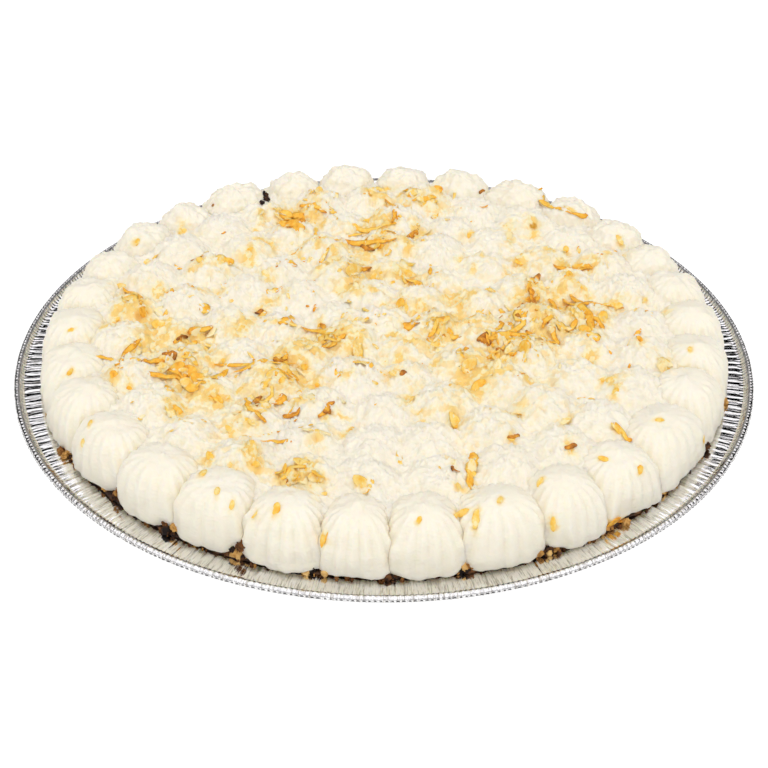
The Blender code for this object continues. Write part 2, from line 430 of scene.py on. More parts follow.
# Foil tin
tin = {
    "outerRadius": 0.122,
    "rimHeight": 0.027,
    "curlRadius": 0.0010,
    "sheet": 0.0003,
    "flutes": 216,
    "columns": 2376,
    "wallFlute": 0.00042,
    "flangeFlute": 0.000078,
    "curlCrimp": 0.00010,
    "crimps": 486,
    "unevenness": 0.60,
    # radius, height, and the depth of the flutes there as a share of wallFlute
    "wall": (
        (0.0, 0.0002, 0), (0.0865, 0.0002, 0), (0.0875, 0.0008, 0.1), (0.0883, 0.0020, 0.35),
        (0.0925, 0.0066, 0.7), (0.0980, 0.0123, 0.9), (0.1040, 0.0184, 1), (0.1100, 0.0246, 0.9),
    ),
    # the same with flangeFlute, then how deep the tool that rolls the hem marks it, as a share of curlCrimp
    "flange": (
        (0.1107, 0.0254, 0.9, 0), (0.1116, 0.0258, 1, 0), (0.1126, 0.0260, 1, 0), (0.1150, 0.0260, 1, 0),
        (0.1170, 0.0260, 1, 0), (0.1180, 0.0260, 0.8, 0.3), (0.1189, 0.0260, 0.3, 0.9),
        (0.1195, 0.0264, 0.08, 1.1),
    ),
    "plainBelow": (0.1126, 0.1150, 0.1180),  # the underside needs no rows here
    "dull": (0.86, 0.855, 0.84),
    "bright": (0.93, 0.93, 0.925),
    # the next four colours are painted light: reflection streaks over wall and flange, shade in the dents of
    # the rolled edge, shade in the hem, and a line of shade in the crease inside the curl
    "reflectedStreaks": (0.40, 0.365, 0.30),
    "dentShade": (0.30, 0.30, 0.30),
    "hemShadow": (0.05, 0.05, 0.05),
    "creaseShade": (0.10, 0.10, 0.105),
    "dentsInside": (0.0036, 0.0028),  # from the outer edge inward
    "creaseShadeInside": 0.0016,
    "creaseShadeSharpness": 2200,
}


def foilMaterial():
    material, kit = newMaterial("foil")
    place = kit.objectPlace()
    clouds = kit.noise(place, 90.0, 3.0)
    scuffs = kit.noise(place, 900.0, 2.0)
    tint = kit.blend(clouds, tin["dull"], tin["bright"])
    # Fine wrinkles run outward over wall and flange
    x, y, _ = kit.split(place)
    reach = kit.math("SQRT", x * x + y * y)
    circle = kit.join(x / reach, y / reach, reach * 0.9)
    wrinkles = kit.noise(circle, 120.0, 3.0, 0.6)
    # Painted reflection: beige-brown streaks running outward stand for the cream and the crust's dark edge
    # mirrored in the flutes
    reflectedStreaks = kit.fade(kit.noise(circle, 260.0, 2.0, 0.7), 0.50, 0.69, "LINEAR")
    tint = kit.blend(reflectedStreaks * 0.85, tint, tin["reflectedStreaks"])
    # Painted shade: dark dashes on the lower outer side of the rolled hem stand for the shadowed line where
    # the foil rolls under
    hem = kit.painted("hem")
    tint = kit.blend(hem, tint, tin["hemShadow"])
    # The rolled edge is dented all round, and painted shade darkens it in spots near the outer edge
    start, end = (tin["outerRadius"] - inside for inside in tin["dentsInside"])
    edge = kit.fade(reach, start, end)
    dentShadeSpots = kit.fade(scuffs, 0.46, 0.60, "LINEAR")
    tint = kit.blend(dentShadeSpots * edge * 0.34, tint, tin["dentShade"])
    # Painted shade lies as a dark line in the crease inside the curl
    away = kit.math("ABSOLUTE", reach - (tin["outerRadius"] - tin["creaseShadeInside"]))
    creaseShade = kit.math("MAXIMUM", 1 - away * tin["creaseShadeSharpness"], 0)
    creaseShade = kit.math("MINIMUM", creaseShade * (scuffs * 2.2), 1)
    closeMaterial(kit, {
        "Base Color": kit.blend(creaseShade, tint, tin["creaseShade"]), "Metallic": 1 - creaseShade * 0.9,
        "Roughness": clouds * 0.09 + 0.07 + hem * 0.3 + creaseShade * 0.4,
        "Normal": kit.bump(wrinkles + scuffs * (edge * 2.2 + 0.08), 0.24, 0.0005)})
    return material


def tinOutline():
    # Rows from the axis, over the upper skin, round the curl and back below, each with its place,
    # the way its flutes push, their depth, the depth of its crimps and how much painted shade darkens the hem
    # there
    half, crimp, curl = tin["sheet"] / 2, tin["curlCrimp"], tin["curlRadius"]
    skin = [(radius, height, share * tin["wallFlute"], 0) for radius, height, share in tin["wall"]]
    skin += [(radius, height, share * tin["flangeFlute"], marked * crimp)
             for radius, height, share, marked in tin["flange"]]
    line = [Vector(row[:2]) for row in skin]
    upper, rolled, lower = [], [], []
    for i, (radius, _, depth, marks) in enumerate(skin):
        step = line[min(i + 1, len(line) - 1)] - line[max(i - 1, 0)]
        side = Vector((-step.y, step.x)).normalized()
        offset = side * half if i else Vector((0, half))
        upper.append((line[i] + offset, side, depth, marks, 0))
        if radius not in tin["plainBelow"]:
            lower.append((line[i] - offset, side, depth, 0, 0))
    centre = Vector((tin["outerRadius"] - curl, tin["rimHeight"]))
    for degrees in range(150, -151, -25):
        out = Vector(turned(degrees))
        dent = 1.1 if degrees > 95 else 0.26 if degrees > 20 else 0.9
        # the outer lower half of the curl takes the hem's painted shade
        rolled.append((centre + out * curl, out, 0, crimp * dent, 1.0 if -90 < degrees < 5 else 0))
    return upper + rolled + lower[::-1]


def pleatTree():
    kit, given = newTree("pleatTheTin", {
        "Columns": "Int", "Flutes": "Int", "Crimps": "Int", "Unevenness": "Float"})
    outline = given["Geometry"]
    count = kit.add("GeometryNodeAttributeDomainSize", {"component": "MESH"}, {"Geometry": outline})
    grid = kit.add("GeometryNodeMeshGrid", {}, {
        "Size X": 1.0, "Size Y": 1.0, "Vertices X": given["Columns"] + 1, "Vertices Y": count})
    place = kit.add("GeometryNodeInputPosition")
    x, y, _ = kit.split(place)
    turn = (x + 0.5) * (2 * math.pi)
    row = kit.math("ROUND", (y + 0.5) * (count - 1))

    def sampled(value, kind="FLOAT"):
        return kit.add("GeometryNodeSampleIndex", {"data_type": kind}, {
            "Geometry": outline, "Value": value, "Index": row})

    radius, _, level = kit.split(sampled(place, "FLOAT_VECTOR"))
    outX, _, outZ = kit.split(sampled(kit.named("outward", "FLOAT_VECTOR"), "FLOAT_VECTOR"))
    # The pleats vary in depth and spacing round the tin
    cosine, sine = kit.math("COSINE", turn), kit.math("SINE", turn)
    circle = kit.join(cosine, sine)
    uneven = kit.noise(circle, 46.0, 2.0)
    drift = kit.noise(circle, 9.0, 1.0)
    phase = turn * given["Flutes"] + drift * 9.0 + uneven * 3.0
    wave = kit.math("SINE", phase) * 0.8
    wave = wave + kit.math("SINE", phase * 2 + drift * 14.0) * (uneven * 1.0 - 0.10)
    wave = wave + kit.math("SINE", phase * 3 + uneven * 16.0) * (drift * 0.22)
    crimps = kit.math("SINE", turn * given["Crimps"] + uneven * 7.0)
    height = wave * sampled(kit.named("depth")) * (1 + (uneven - 0.5) * given["Unevenness"] * 4.0)
    height = height + crimps * sampled(kit.named("crimp"))
    radius, level = radius + outX * height, level + outZ * height
    # Dashes of painted shade along the lower outer side of the hem
    gaps = kit.fade(crimps * -0.3 + uneven, 0.36, 0.62)
    grid = kit.store(grid, "hem", sampled(kit.named("open")) * gaps)
    bent = kit.move(grid, "Position", kit.join(radius * cosine, radius * sine, level))
    joined = kit.add("GeometryNodeMergeByDistance", {}, {"Geometry": bent, "Distance": 0.000004})
    closeTree(kit, kit.smooth(joined), given["Material"])
    return kit


def makeTin():
    places, ways, depths, crimps, hemShadeShares = zip(*tinOutline())
    mesh = meshFrom("tinOutline", [(place.x, 0, place.y) for place in places], [])
    giveVectors(mesh, outward=[(way.x, 0, way.y) for way in ways])
    giveNumbers(mesh, depth=depths, crimp=crimps, open=hemShadeShares)
    thing = newObject("foilTin", mesh)
    growWith(thing, pleatTree(), {
        "Columns": tin["columns"], "Flutes": tin["flutes"], "Crimps": tin["crimps"],
        "Unevenness": tin["unevenness"], "Material": foilMaterial()})
    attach(thing, "root")
    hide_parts("foil_tin")
    return thing


foilTin = makeTin()
print("foil tin ready", len(foilTin.data.polygons))


# Crust
crust = {
    "edgeRadius": 0.1118,
    "top": 0.0270,
    "columns": 720,
    "raggedness": 0.0007,
    "edgeLift": 0.0004,
    "seed": 5.0,
    # the nearly black browns are painted shade for the gap under the cream's foot, the lighter ones the baked
    # crust's own colour
    "brownsAndShade": (
        (0.30, (0.012, 0.006, 0.004)), (0.52, (0.045, 0.017, 0.006)),
        (0.66, (0.26, 0.11, 0.030)), (0.78, (0.66, 0.40, 0.15)),
    ),
}


def crustMaterial():
    material, kit = newMaterial("bakedCrust")
    place = kit.objectPlace()
    patches = kit.noise(place, 160.0, 4.0, 0.65)
    grain = kit.noise(place, 1400.0, 3.0)
    closeMaterial(kit, {
        "Base Color": kit.ramp(patches, crust["brownsAndShade"]), "Roughness": grain * 0.3 + 0.55,
        "Normal": kit.bump(grain, 0.7, 0.0003)})
    return material


def makeCrust():
    # A bowl of pastry that lines the tin and ends in a thin broken edge on the flange
    low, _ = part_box("crust")
    edge, top, n = crust["edgeRadius"], crust["top"], crust["columns"]
    outline = [
        (0.0, top), (0.060, top), (0.100, top), (0.1090, top), (0.1104, top - 0.0001),
        (edge - 0.0004, top - 0.0003), (edge, top - 0.0006), (edge - 0.0002, top - 0.0008),
        (0.1112, 0.0261), (0.1104, 0.0256), (0.1095, 0.0246), (0.1040, 0.0190), (0.0980, 0.0129),
        (0.0900, 0.0048), (0.0870, low.z + 0.0006), (0.0850, low.z), (0.0, low.z),
    ]
    points, faces = [], []
    for row, (radius, height) in enumerate(outline):
        if radius == 0.0:
            points.append((0, 0, height))
            continue
        for i in range(n):
            turn = 2 * math.pi * i / n
            x, y = radius * math.cos(turn), radius * math.sin(turn)
            reach, lift = 0.0, 0.0
            if 4 <= row <= 8:
                spot = (x, y, height)
                reach = crust["raggedness"] * (rough(spot, 420, crust["seed"]) + 0.7 * rough(spot, 1300, 9.0))
                lift = crust["edgeLift"] * rough(spot, 700, 3.0)
            points.append((x * (1 + reach / radius), y * (1 + reach / radius), height + lift))
    rows = [1 + row * n for row in range(len(outline) - 2)]
    for i in range(n):
        j = (i + 1) % n
        faces.append((0, rows[0] + i, rows[0] + j))
        for a, b in zip(rows, rows[1:]):
            faces.append((a + i, b + i, b + j, a + j))
        faces.append((rows[-1] + i, len(points) - 1, rows[-1] + j))
    thing = closedObject("pieCrust", points, faces, crustMaterial())
    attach(thing, "root")
    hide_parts("crust")
    return thing


pieCrust = makeCrust()
print("crust ready", len(pieCrust.data.polygons))


# Where the coconut lies, and how much
coconut = {
    # heaps in the picture: middle x and y, length, width, angle in degrees
    "heaps": (
        (184, 369, 57, 40, 156), (506, 342, 69, 50, 45), (266, 399, 74, 21, 41), (441, 327, 43, 27, 24),
        (542, 309, 72, 22, 107), (291, 219, 30, 20, 1), (374, 246, 40, 7, 2), (366, 232, 30, 5, 4),
        (578, 315, 49, 14, 125), (331, 337, 41, 17, 4), (195, 335, 40, 11, 15), (409, 278, 35, 11, 169),
        (300, 371, 25, 14, 148), (133, 352, 34, 11, 39), (288, 476, 28, 14, 154), (479, 387, 19, 14, 40),
        (354, 270, 24, 13, 16), (468, 366, 24, 13, 46), (131, 295, 27, 13, 136), (472, 472, 28, 10, 89),
        (517, 416, 19, 12, 17), (666, 368, 19, 11, 173), (611, 306, 25, 9, 2), (454, 421, 19, 12, 131),
        (279, 359, 14, 12, 155), (358, 352, 17, 11, 85), (174, 410, 18, 10, 160), (224, 262, 21, 10, 5),
        (161, 325, 19, 11, 173), (315, 477, 14, 11, 7), (582, 268, 21, 7, 165), (250, 447, 15, 10, 179),
        (267, 275, 14, 9, 134), (427, 200, 27, 7, 172), (303, 465, 15, 9, 50), (386, 201, 14, 9, 139),
        (217, 399, 15, 8, 151), (603, 316, 12, 10, 60), (260, 314, 12, 10, 44), (144, 312, 12, 9, 99),
        (334, 259, 15, 7, 21), (369, 221, 13, 5, 3), (388, 219, 11, 6, 172), (382, 232, 12, 5, 173),
        (371, 191, 9, 6, 167), (533, 225, 8, 6, 145), (569, 448, 8, 6, 132), (261, 212, 7, 6, 45),
        (518, 298, 8, 5, 7), (316, 211, 7, 5, 170), (566, 249, 7, 6, 100), (511, 438, 9, 5, 163),
        (320, 326, 7, 5, 69), (223, 361, 6, 5, 105), (317, 385, 6, 5, 122), (612, 380, 12, 7, 10),
        (615, 392, 10, 6, 50), (505, 360, 14, 10, 30), (240, 330, 12, 8, 30), (190, 384, 22, 12, 160),
        (250, 250, 9, 6, 20), (200, 260, 9, 6, 150), (470, 235, 12, 6, 10), (520, 262, 12, 6, 170),
        (460, 262, 10, 6, 30), (640, 340, 10, 6, 120), (350, 430, 9, 6, 20), (410, 400, 10, 6, 60),
        (230, 430, 12, 6, 140), (590, 360, 10, 6, 30), (437, 189, 12, 9, 9), (400, 304, 12, 9, 51),
        (396, 373, 15, 7, 3), (114, 375, 10, 9, 131), (158, 292, 12, 7, 170), (570, 275, 10, 8, 147),
        (255, 464, 11, 7, 178), (564, 421, 17, 6, 33), (153, 346, 13, 6, 99), (116, 318, 11, 7, 28),
        (356, 287, 11, 7, 108), (564, 266, 12, 7, 178), (375, 277, 10, 8, 163), (319, 191, 9, 8, 76),
        (416, 233, 9, 8, 124), (509, 236, 9, 8, 98), (533, 225, 8, 6, 145), (131, 389, 9, 6, 160),
        (271, 245, 7, 7, 47), (183, 231, 8, 6, 13),
    ),
    # single pieces lying on the outer rosettes: picture x and y, angle in degrees, length and width
    # in millimetres, for some the toast
    "strays": (
        (553, 524, 81, 4.5, 2.6), (614, 522, 24, 5.2, 2.6, 0.5), (622, 521, 30, 3.6, 2.0, 0.6),
        (255, 514, 113, 3.4, 1.9), (276, 509, 75, 4.4, 2.4), (217, 491, 80, 3.2, 1.8),
        (362, 483, 155, 7.5, 3.8, 0.16), (284, 471, 70, 5.0, 2.8, 0.26), (304, 463, 160, 7.0, 4.2, 0.18),
        (318, 474, 30, 5.0, 3.2, 0.28), (251, 453, 84, 8.0, 5.0, 0.10), (295, 478, 170, 5.0, 2.4, 0.3),
        (203, 473, 90, 3.6, 2.2), (704, 439, 90, 2.8, 1.7), (604, 459, 150, 4.0, 1.8),
        (619, 431, 150, 8.0, 1.8), (569, 448, 132, 3.2, 1.8), (326, 538, 80, 3.6, 2.0),
        (456, 516, 20, 3.0, 1.5), (603, 380, 20, 3.6, 1.8), (90, 424, 120, 3.4, 2.0),
        (83, 443, 60, 3.0, 2.0), (70, 372, 40, 3.2, 1.6), (72, 330, 20, 3.0, 1.5),
        (210, 457, 126, 3.8, 2.4), (640, 470, 80, 3.0, 2.0), (645, 300, 30, 3.4, 1.6),
        (690, 350, 90, 3.0, 1.6), (571, 210, 125, 7.0, 1.5), (620, 240, 100, 5.0, 2.4),
        (660, 420, 10, 3.2, 1.5), (137, 242, 90, 3.0, 3.0), (147, 262, 60, 3.0, 2.4),
        (181, 232, 10, 3.2, 3.0), (261, 212, 45, 2.8, 2.4), (462, 513, 20, 5.0, 2.2),
        (476, 519, 82, 6.0, 2.4), (459, 487, 150, 3.6, 1.8), (323, 541, 85, 4.4, 1.8),
        (387, 190, 20, 3.4, 2.4), (284, 216, 12, 6.4, 4.6, 0.36), (285, 224, 10, 5.0, 3.6, 0.38),
        (298, 227, 175, 5.5, 3.4, 0.42), (188, 371, 170, 7.0, 4.0, 0.40), (199, 379, 150, 6.0, 3.6, 0.36),
        (177, 367, 20, 6.0, 3.0, 0.40), (192, 388, 165, 5.0, 3.0, 0.30), (297, 219, 170, 6.6, 5.0, 0.40),
        (290, 224, 0, 6.0, 3.6, 0.46), (378, 247, 4, 7.0, 2.2, 0.44), (302, 398, 80, 3.0, 2.0),
        (540, 482, 70, 3.4, 2.0), (500, 500, 60, 3.0, 1.8), (232, 505, 80, 2.8, 1.6),
        (419, 520, 60, 2.8, 1.5),
    ),
    # the dark or long shreds that stand out: picture start and end, width in millimetres, toast, bow
    "shreds": (
        (283, 417, 302, 406, 1.2, 0.56, -0.24), (321, 420, 334, 402, 1.2, 0.50, 0.06),
        (274, 361, 285, 358, 2.2, 0.66, 0.0), (162, 357, 176, 362, 1.2, 0.72, 0.15),
        (178, 339, 188, 336, 1.3, 0.78, 0.1), (188, 334, 214, 329, 1.6, 0.42, 0.12),
        (214, 368, 292, 380, 1.0, 0.34, 0.03), (534, 304, 540, 276, 1.8, 0.55, 0.05),
        (542, 330, 550, 300, 1.5, 0.40, -0.08), (562, 300, 592, 324, 1.5, 0.36, 0.05),
        (590, 322, 604, 330, 1.3, 0.45, 0.2), (565, 268, 592, 270, 1.4, 0.45, 0.1),
        (476, 344, 488, 336, 1.4, 0.76, 0.1), (519, 318, 524, 304, 1.3, 0.66, 0.1),
        (410, 240, 421, 231, 1.5, 0.62, 0.2), (346, 240, 398, 239, 1.7, 0.40, -0.16),
        (348, 237, 396, 236, 1.1, 0.26, 0.16), (358, 270, 372, 266, 1.5, 0.52, 0.1),
        (470, 488, 474, 452, 2.2, 0.30, 0.04), (612, 425, 632, 440, 1.4, 0.34, 0.05),
        (398, 376, 405, 371, 1.3, 0.70, 0.1), (256, 314, 263, 310, 1.3, 0.75, 0.0),
        (326, 412, 331, 406, 1.4, 0.66, 0.1), (257, 406, 261, 396, 1.2, 0.64, 0.1),
        (436, 201, 412, 200, 1.3, 0.34, 0.05), (481, 196, 486, 193, 1.0, 0.80, 0.0),
        (266, 424, 246, 398, 1.5, 0.36, 0.1), (232, 378, 296, 366, 1.4, 0.32, -0.05),
        (300, 385, 286, 352, 1.3, 0.36, 0.15), (142, 362, 168, 356, 1.5, 0.45, 0.2),
        (150, 372, 186, 380, 1.6, 0.34, 0.1), (196, 388, 228, 372, 1.4, 0.32, -0.1),
        (500, 322, 486, 344, 1.5, 0.44, 0.1), (508, 330, 526, 352, 1.5, 0.36, 0.2),
        (488, 360, 512, 342, 1.5, 0.32, 0.1), (430, 340, 446, 318, 1.6, 0.34, 0.15),
        (300, 330, 336, 342, 1.4, 0.34, 0.2), (320, 348, 346, 332, 1.3, 0.40, -0.1),
        (118, 366, 142, 340, 1.3, 0.42, 0.1), (122, 290, 142, 304, 1.4, 0.40, 0.1),
        (280, 484, 306, 468, 1.6, 0.28, 0.15), (511, 439, 520, 437, 1.1, 0.62, 0.1),
        (566, 447, 576, 450, 1.1, 0.70, 0.1), (451, 470, 461, 473, 1.1, 0.70, 0.0),
        (548, 323, 540, 344, 1.5, 0.42, 0.25), (581, 304, 622, 306, 1.5, 0.44, 0.0),
        (571, 298, 592, 330, 1.8, 0.40, 0.05), (487, 340, 527, 312, 1.5, 0.30, -0.1),
        (300, 210, 325, 215, 1.3, 0.40, 0.1), (348, 220, 396, 222, 1.4, 0.24, -0.15),
        (385, 200, 393, 222, 1.3, 0.40, 0.1), (553, 265, 592, 270, 1.5, 0.34, 0.08),
        (279, 216, 303, 214, 2.6, 0.36, 0.05), (281, 223, 305, 221, 2.6, 0.42, -0.05),
        (286, 228, 303, 226, 2.0, 0.46, 0.0), (560, 196, 571, 214, 1.3, 0.30, -0.15),
        (571, 214, 590, 220, 1.2, 0.42, -0.10), (496, 352, 506, 350, 1.4, 0.60, 0.1),
        (476, 342, 492, 348, 1.5, 0.66, 0.1), (360, 248, 376, 250, 1.4, 0.62, 0.0),
        (258, 440, 292, 442, 1.0, 0.36, 0.05), (320, 326, 324, 342, 1.3, 0.5, 0.1),
        (404, 276, 428, 286, 1.5, 0.34, 0.1),
    ),
    # plan place of each looser patch in millimetres, its spread, and its share of the pieces
    "patches": (
        (-61, -32, 17, 9), (-35, -41, 14, 6), (-31, -76, 9, 2), (53, -2, 17, 10), (18, -5, 12, 2),
        (30, -30, 11, 3), (-18, -11, 13, 6), (5, 23, 15, 7), (-31, 66, 14, 5), (15, 84, 13, 4),
        (-4, 50, 15, 7), (-84, 10, 10, 3), (66, 28, 13, 4), (-54, 32, 14, 5), (-80, 42, 9, 2),
        (0, 74, 14, 5), (0, 0, 52, 50),
    ),
    "topLevel": 0.0420,
    "smallHeaps": 120,
    "smallLength": (0.0012, 0.0028),
    "smallWidth": (0.0008, 0.0016),
    "smallReach": 0.095,
    "fullHeap": 900,  # in square pixels of the picture; larger heaps lie thinner
    # how much sinks in under a heap and round it, by two falling curves, in a patch and under a stray
    "dustUnder": (0.50, 0.8, 1.3),
    "dustRound": (0.38, 0.18),
    "dustInPatch": 0.06,
    "dustByStray": 1.3,
    "dustDepth": 0.0020,
    "dustReach": 0.1010,
    "flakes": {
        "count": 60, "length": (0.0030, 0.0072), "width": (0.0020, 0.0042), "toast": (-0.15, 0.46, 0.18),
        "thickness": 0.09, "bow": 0.20, "lift": (-0.0003, 0.0001), "steps": 6, "wander": 0.0022, "settle": 1,
        "perArea": 0.0050},
    "strands": {
        "count": 24, "length": (0.0040, 0.0090), "width": (0.0012, 0.0024), "toast": (0.0, 0.50, 0.24),
        "thickness": 0.18, "bow": 0.30, "lift": (-0.0002, 0.0003), "steps": 9, "wander": 0.0040, "settle": 3,
        "perArea": 0.0012},
    "flecks": {
        "count": 230, "length": (0.0012, 0.0042), "width": (0.0007, 0.0017), "toast": (-0.15, 0.62, 0.14),
        "thickness": 0.25, "bow": 0.20, "lift": (-0.0002, 0.0001), "steps": 4, "wander": 0.0006, "settle": 1,
        "perArea": 0.0065},
    "looseReach": 0.093,
    "tips": (-0.35, -0.25, -0.1, 0.1, 0.25, 0.4),  # how much darker or paler a piece's tips are
    "shredLift": 0.0003,
    "shredTip": 0.2,
    "shredFullness": 1.45,
    # flat flakes: a heap up to oneFlake square pixels is one of them, and a larger one holds several
    "flatThickness": 0.00045,
    "flatSunk": 0.1,  # as a share of the thickness
    "straySunk": -0.05,
    "flatLargest": (0.009, 0.0055),
    "flatToast": (-0.12, 0.54, 0.14),
    "strayToast": (0.04, 0.36, 0.16),
    "oneFlake": 330,
    "flakesPerArea": 0.0034,
    "heapFlake": ((9, 19), (5, 9)),  # length and width in pixels
    "colours": (
        (0.00, (0.990, 0.850, 0.480)), (0.14, (0.990, 0.710, 0.215)), (0.30, (0.990, 0.610, 0.090)),
        (0.48, (0.985, 0.475, 0.036)), (0.72, (0.600, 0.220, 0.018)), (1.00, (0.150, 0.050, 0.009)),
    ),
    "seed": 14,
}


def levelPoint(pixelX, pixelY):
    # A picture point on the top of the cream, which slopes a little from back to front
    spot = planPoint(pixelX, pixelY, coconut["topLevel"])
    return planPoint(pixelX, pixelY, coconut["topLevel"] - topRosettes["heapSlope"] * spot.y)


def seenPoint(pixelX, pixelY):
    # Where the line of sight through a picture point meets the cream, and the way the cream faces there
    place, ray = sightLine(pixelX, pixelY)
    spot, normal, _, _ = creamSurface.ray_cast(place, ray.normalized())
    if spot:
        return spot, normal
    # just past the cream it is the rim of the crust
    spot = planPoint(pixelX, pixelY, crust["top"])
    inward = min(1.0, (crust["edgeRadius"] - 0.0006) / math.hypot(spot.x, spot.y))
    return Vector((spot.x * inward, spot.y * inward, spot.z)), Vector((0, 0, 1))


def looseSpot(rng):
    # A place in metres in one of the patches
    weights = [patch[3] for patch in coconut["patches"]]
    x, y, spread, _ = rng.choices(coconut["patches"], weights)[0]
    return (x + rng.gauss(0, spread)) / 1000, (y + rng.gauss(0, spread)) / 1000


def heapShapes():
    # The middle and the two half axes of every heap on the plan: the seen ones, then the small ones between
    shapes = []
    for x, y, length, width, degrees in coconut["heaps"]:
        c, s = turned(degrees)
        level = levelPoint(x, y)
        along = levelPoint(x + length / 2 * c, y - length / 2 * s) - level
        across = levelPoint(x + width / 2 * s, y + width / 2 * c) - level
        shapes.append((seenPoint(x, y)[0], along, across, length * width))
    rng = random.Random(coconut["seed"] + 1)
    while len(shapes) < len(coconut["heaps"]) + coconut["smallHeaps"]:
        middle = Vector((*looseSpot(rng), 0))
        turn = rng.uniform(0, math.pi)
        way = Vector((math.cos(turn), math.sin(turn), 0))
        long, wide = rng.uniform(*coconut["smallLength"]), rng.uniform(*coconut["smallWidth"])
        if middle.length < coconut["smallReach"]:
            shapes.append((middle, way * long, Vector((-way.y, way.x, 0)) * wide, 60))
    return shapes


def crowding(area):
    return min(1.0, (coconut["fullHeap"] / area) ** 0.4)


def strayAxes(x, y, degrees):
    # Place, length direction and facing of a piece seen on the outer rosettes
    spot, facing = seenPoint(x, y)
    right, up, _, _ = cameraFrame()
    c, s = turned(degrees)
    way = right * c + up * s
    return spot, (way - facing * way.dot(facing)).normalized(), facing


def dustOn(points):
    # How much coconut has sunk in at each point, from 0 to 1
    x, y = points[:, 0], points[:, 1]
    total = np.zeros(len(x))
    under, steepness, power = coconut["dustUnder"]
    beside, slowness = coconut["dustRound"]
    for middle, along, across, area in heapShapes():
        dx, dy = x - middle.x, y - middle.y
        size = along.x * across.y - along.y * across.x
        a = (dx * across.y - dy * across.x) / size
        b = (dy * along.x - dx * along.y) / size
        far = a * a + b * b
        falling = under * np.exp(-steepness * far ** power) + beside * np.exp(-slowness * far)
        total += crowding(area) * falling
    for px, py, spread, weight in coconut["patches"]:
        squared = (x * 1000 - px) ** 2 + (y * 1000 - py) ** 2
        total += weight / spread * coconut["dustInPatch"] * np.exp(-squared / (2 * spread ** 2))
    total[np.hypot(x, y) > coconut["dustReach"]] = 0
    for px, py, degrees, length, width, *_ in coconut["strays"]:
        spot, way, facing = strayAxes(px, py, degrees)
        away = points - np.array(spot[:])
        a, b, c = (away @ np.array(axis[:]) for axis in (way, facing.cross(way), facing))
        far = (a / length) ** 2 * 3.2e6 + (b / width) ** 2 * 3.2e6 + (c / coconut["dustDepth"]) ** 2
        total += coconut["dustByStray"] * np.exp(-far)
    return np.clip(total, 0, 1)


# Whipped cream
edgeRosettes = {
    "seams": (
        -149, -136, -123.5, -111.5, -99.5, -89, -78, -65, -54, -42, -27.5, -15.5, -4, 7.5, 19, 29.5, 41.5, 54,
        67.5, 80, 92, 104, 116, 130, 141, 153.5, 164, 175.5, 187.5, 199.5,
    ),
    "ringRadius": 0.1024,
    "depth": 0.0108,
    "press": 1.12,
    "height": 0.0164,
    "flutes": 19,
    "columnsPerFlute": 5,
    "rows": 33,
    "squareness": (4.2, 2.2),
    "spread": 0.085,
    "groove": 0.00095,
    "lean": 0.0010,
    "profile": (
        (1.00, 0.0), (1.035, 0.02), (1.035, 0.12), (1.02, 0.28), (1.0, 0.44), (0.95, 0.61), (0.86, 0.77),
        (0.72, 0.885), (0.52, 0.955), (0.30, 0.985), (0.13, 1.01), (0.0, 1.035),
    ),
    # the ones at the back stand apart, taller and rounder
    "backProfile": (
        (1.00, 0.0), (1.03, 0.02), (1.035, 0.12), (1.02, 0.28), (0.98, 0.44), (0.90, 0.61), (0.78, 0.77),
        (0.62, 0.89), (0.43, 0.965), (0.24, 1.0), (0.10, 1.03), (0.0, 1.05),
    ),
    "backSquareness": (2.7, 2.2),
    "backDepth": 0.0104,
    "backPress": 1.08,
    "backHeight": 1.03,
    "backFrom": 0.05,
    "backOver": 0.55,
    "heightSpread": (0.96, 1.04),
    "footUnderCrust": 0.0006,
    "footSpread": 0.0002,
    "tipWander": 0.0011,
    "twist": (-0.10, 0.16),
    "grooveSpread": (0.75, 1.2),
    "raggedFoot": 0.0012,
    "footWander": 0.0006,
    "raggedRows": 4,
    "gapRows": 15,
    "lumps": 0.00045,
    "waves": 0.00035,
    "crinkles": 0.00013,
    # where the cream stops short of the crust's edge: degrees round the pie, half width, how much
    "gaps": (
        (-149, 2.5, 0.8), (-136.4, 3.2, 2.2), (-124.6, 2.8, 1.7), (-118, 5.0, 0.7), (-112, 2.2, 2.0),
        (-100, 1.8, 1.2), (-88.3, 2.6, 0.8), (-78, 1.8, 1.4), (-65, 2.2, 1.4), (-51, 4.0, 1.0),
        (-35, 6.0, 0.4),
    ),
    "gapReach": 0.0013,
    "gapLift": 0.0005,
    "widestGap": 2.2,
    "seed": 29,
}
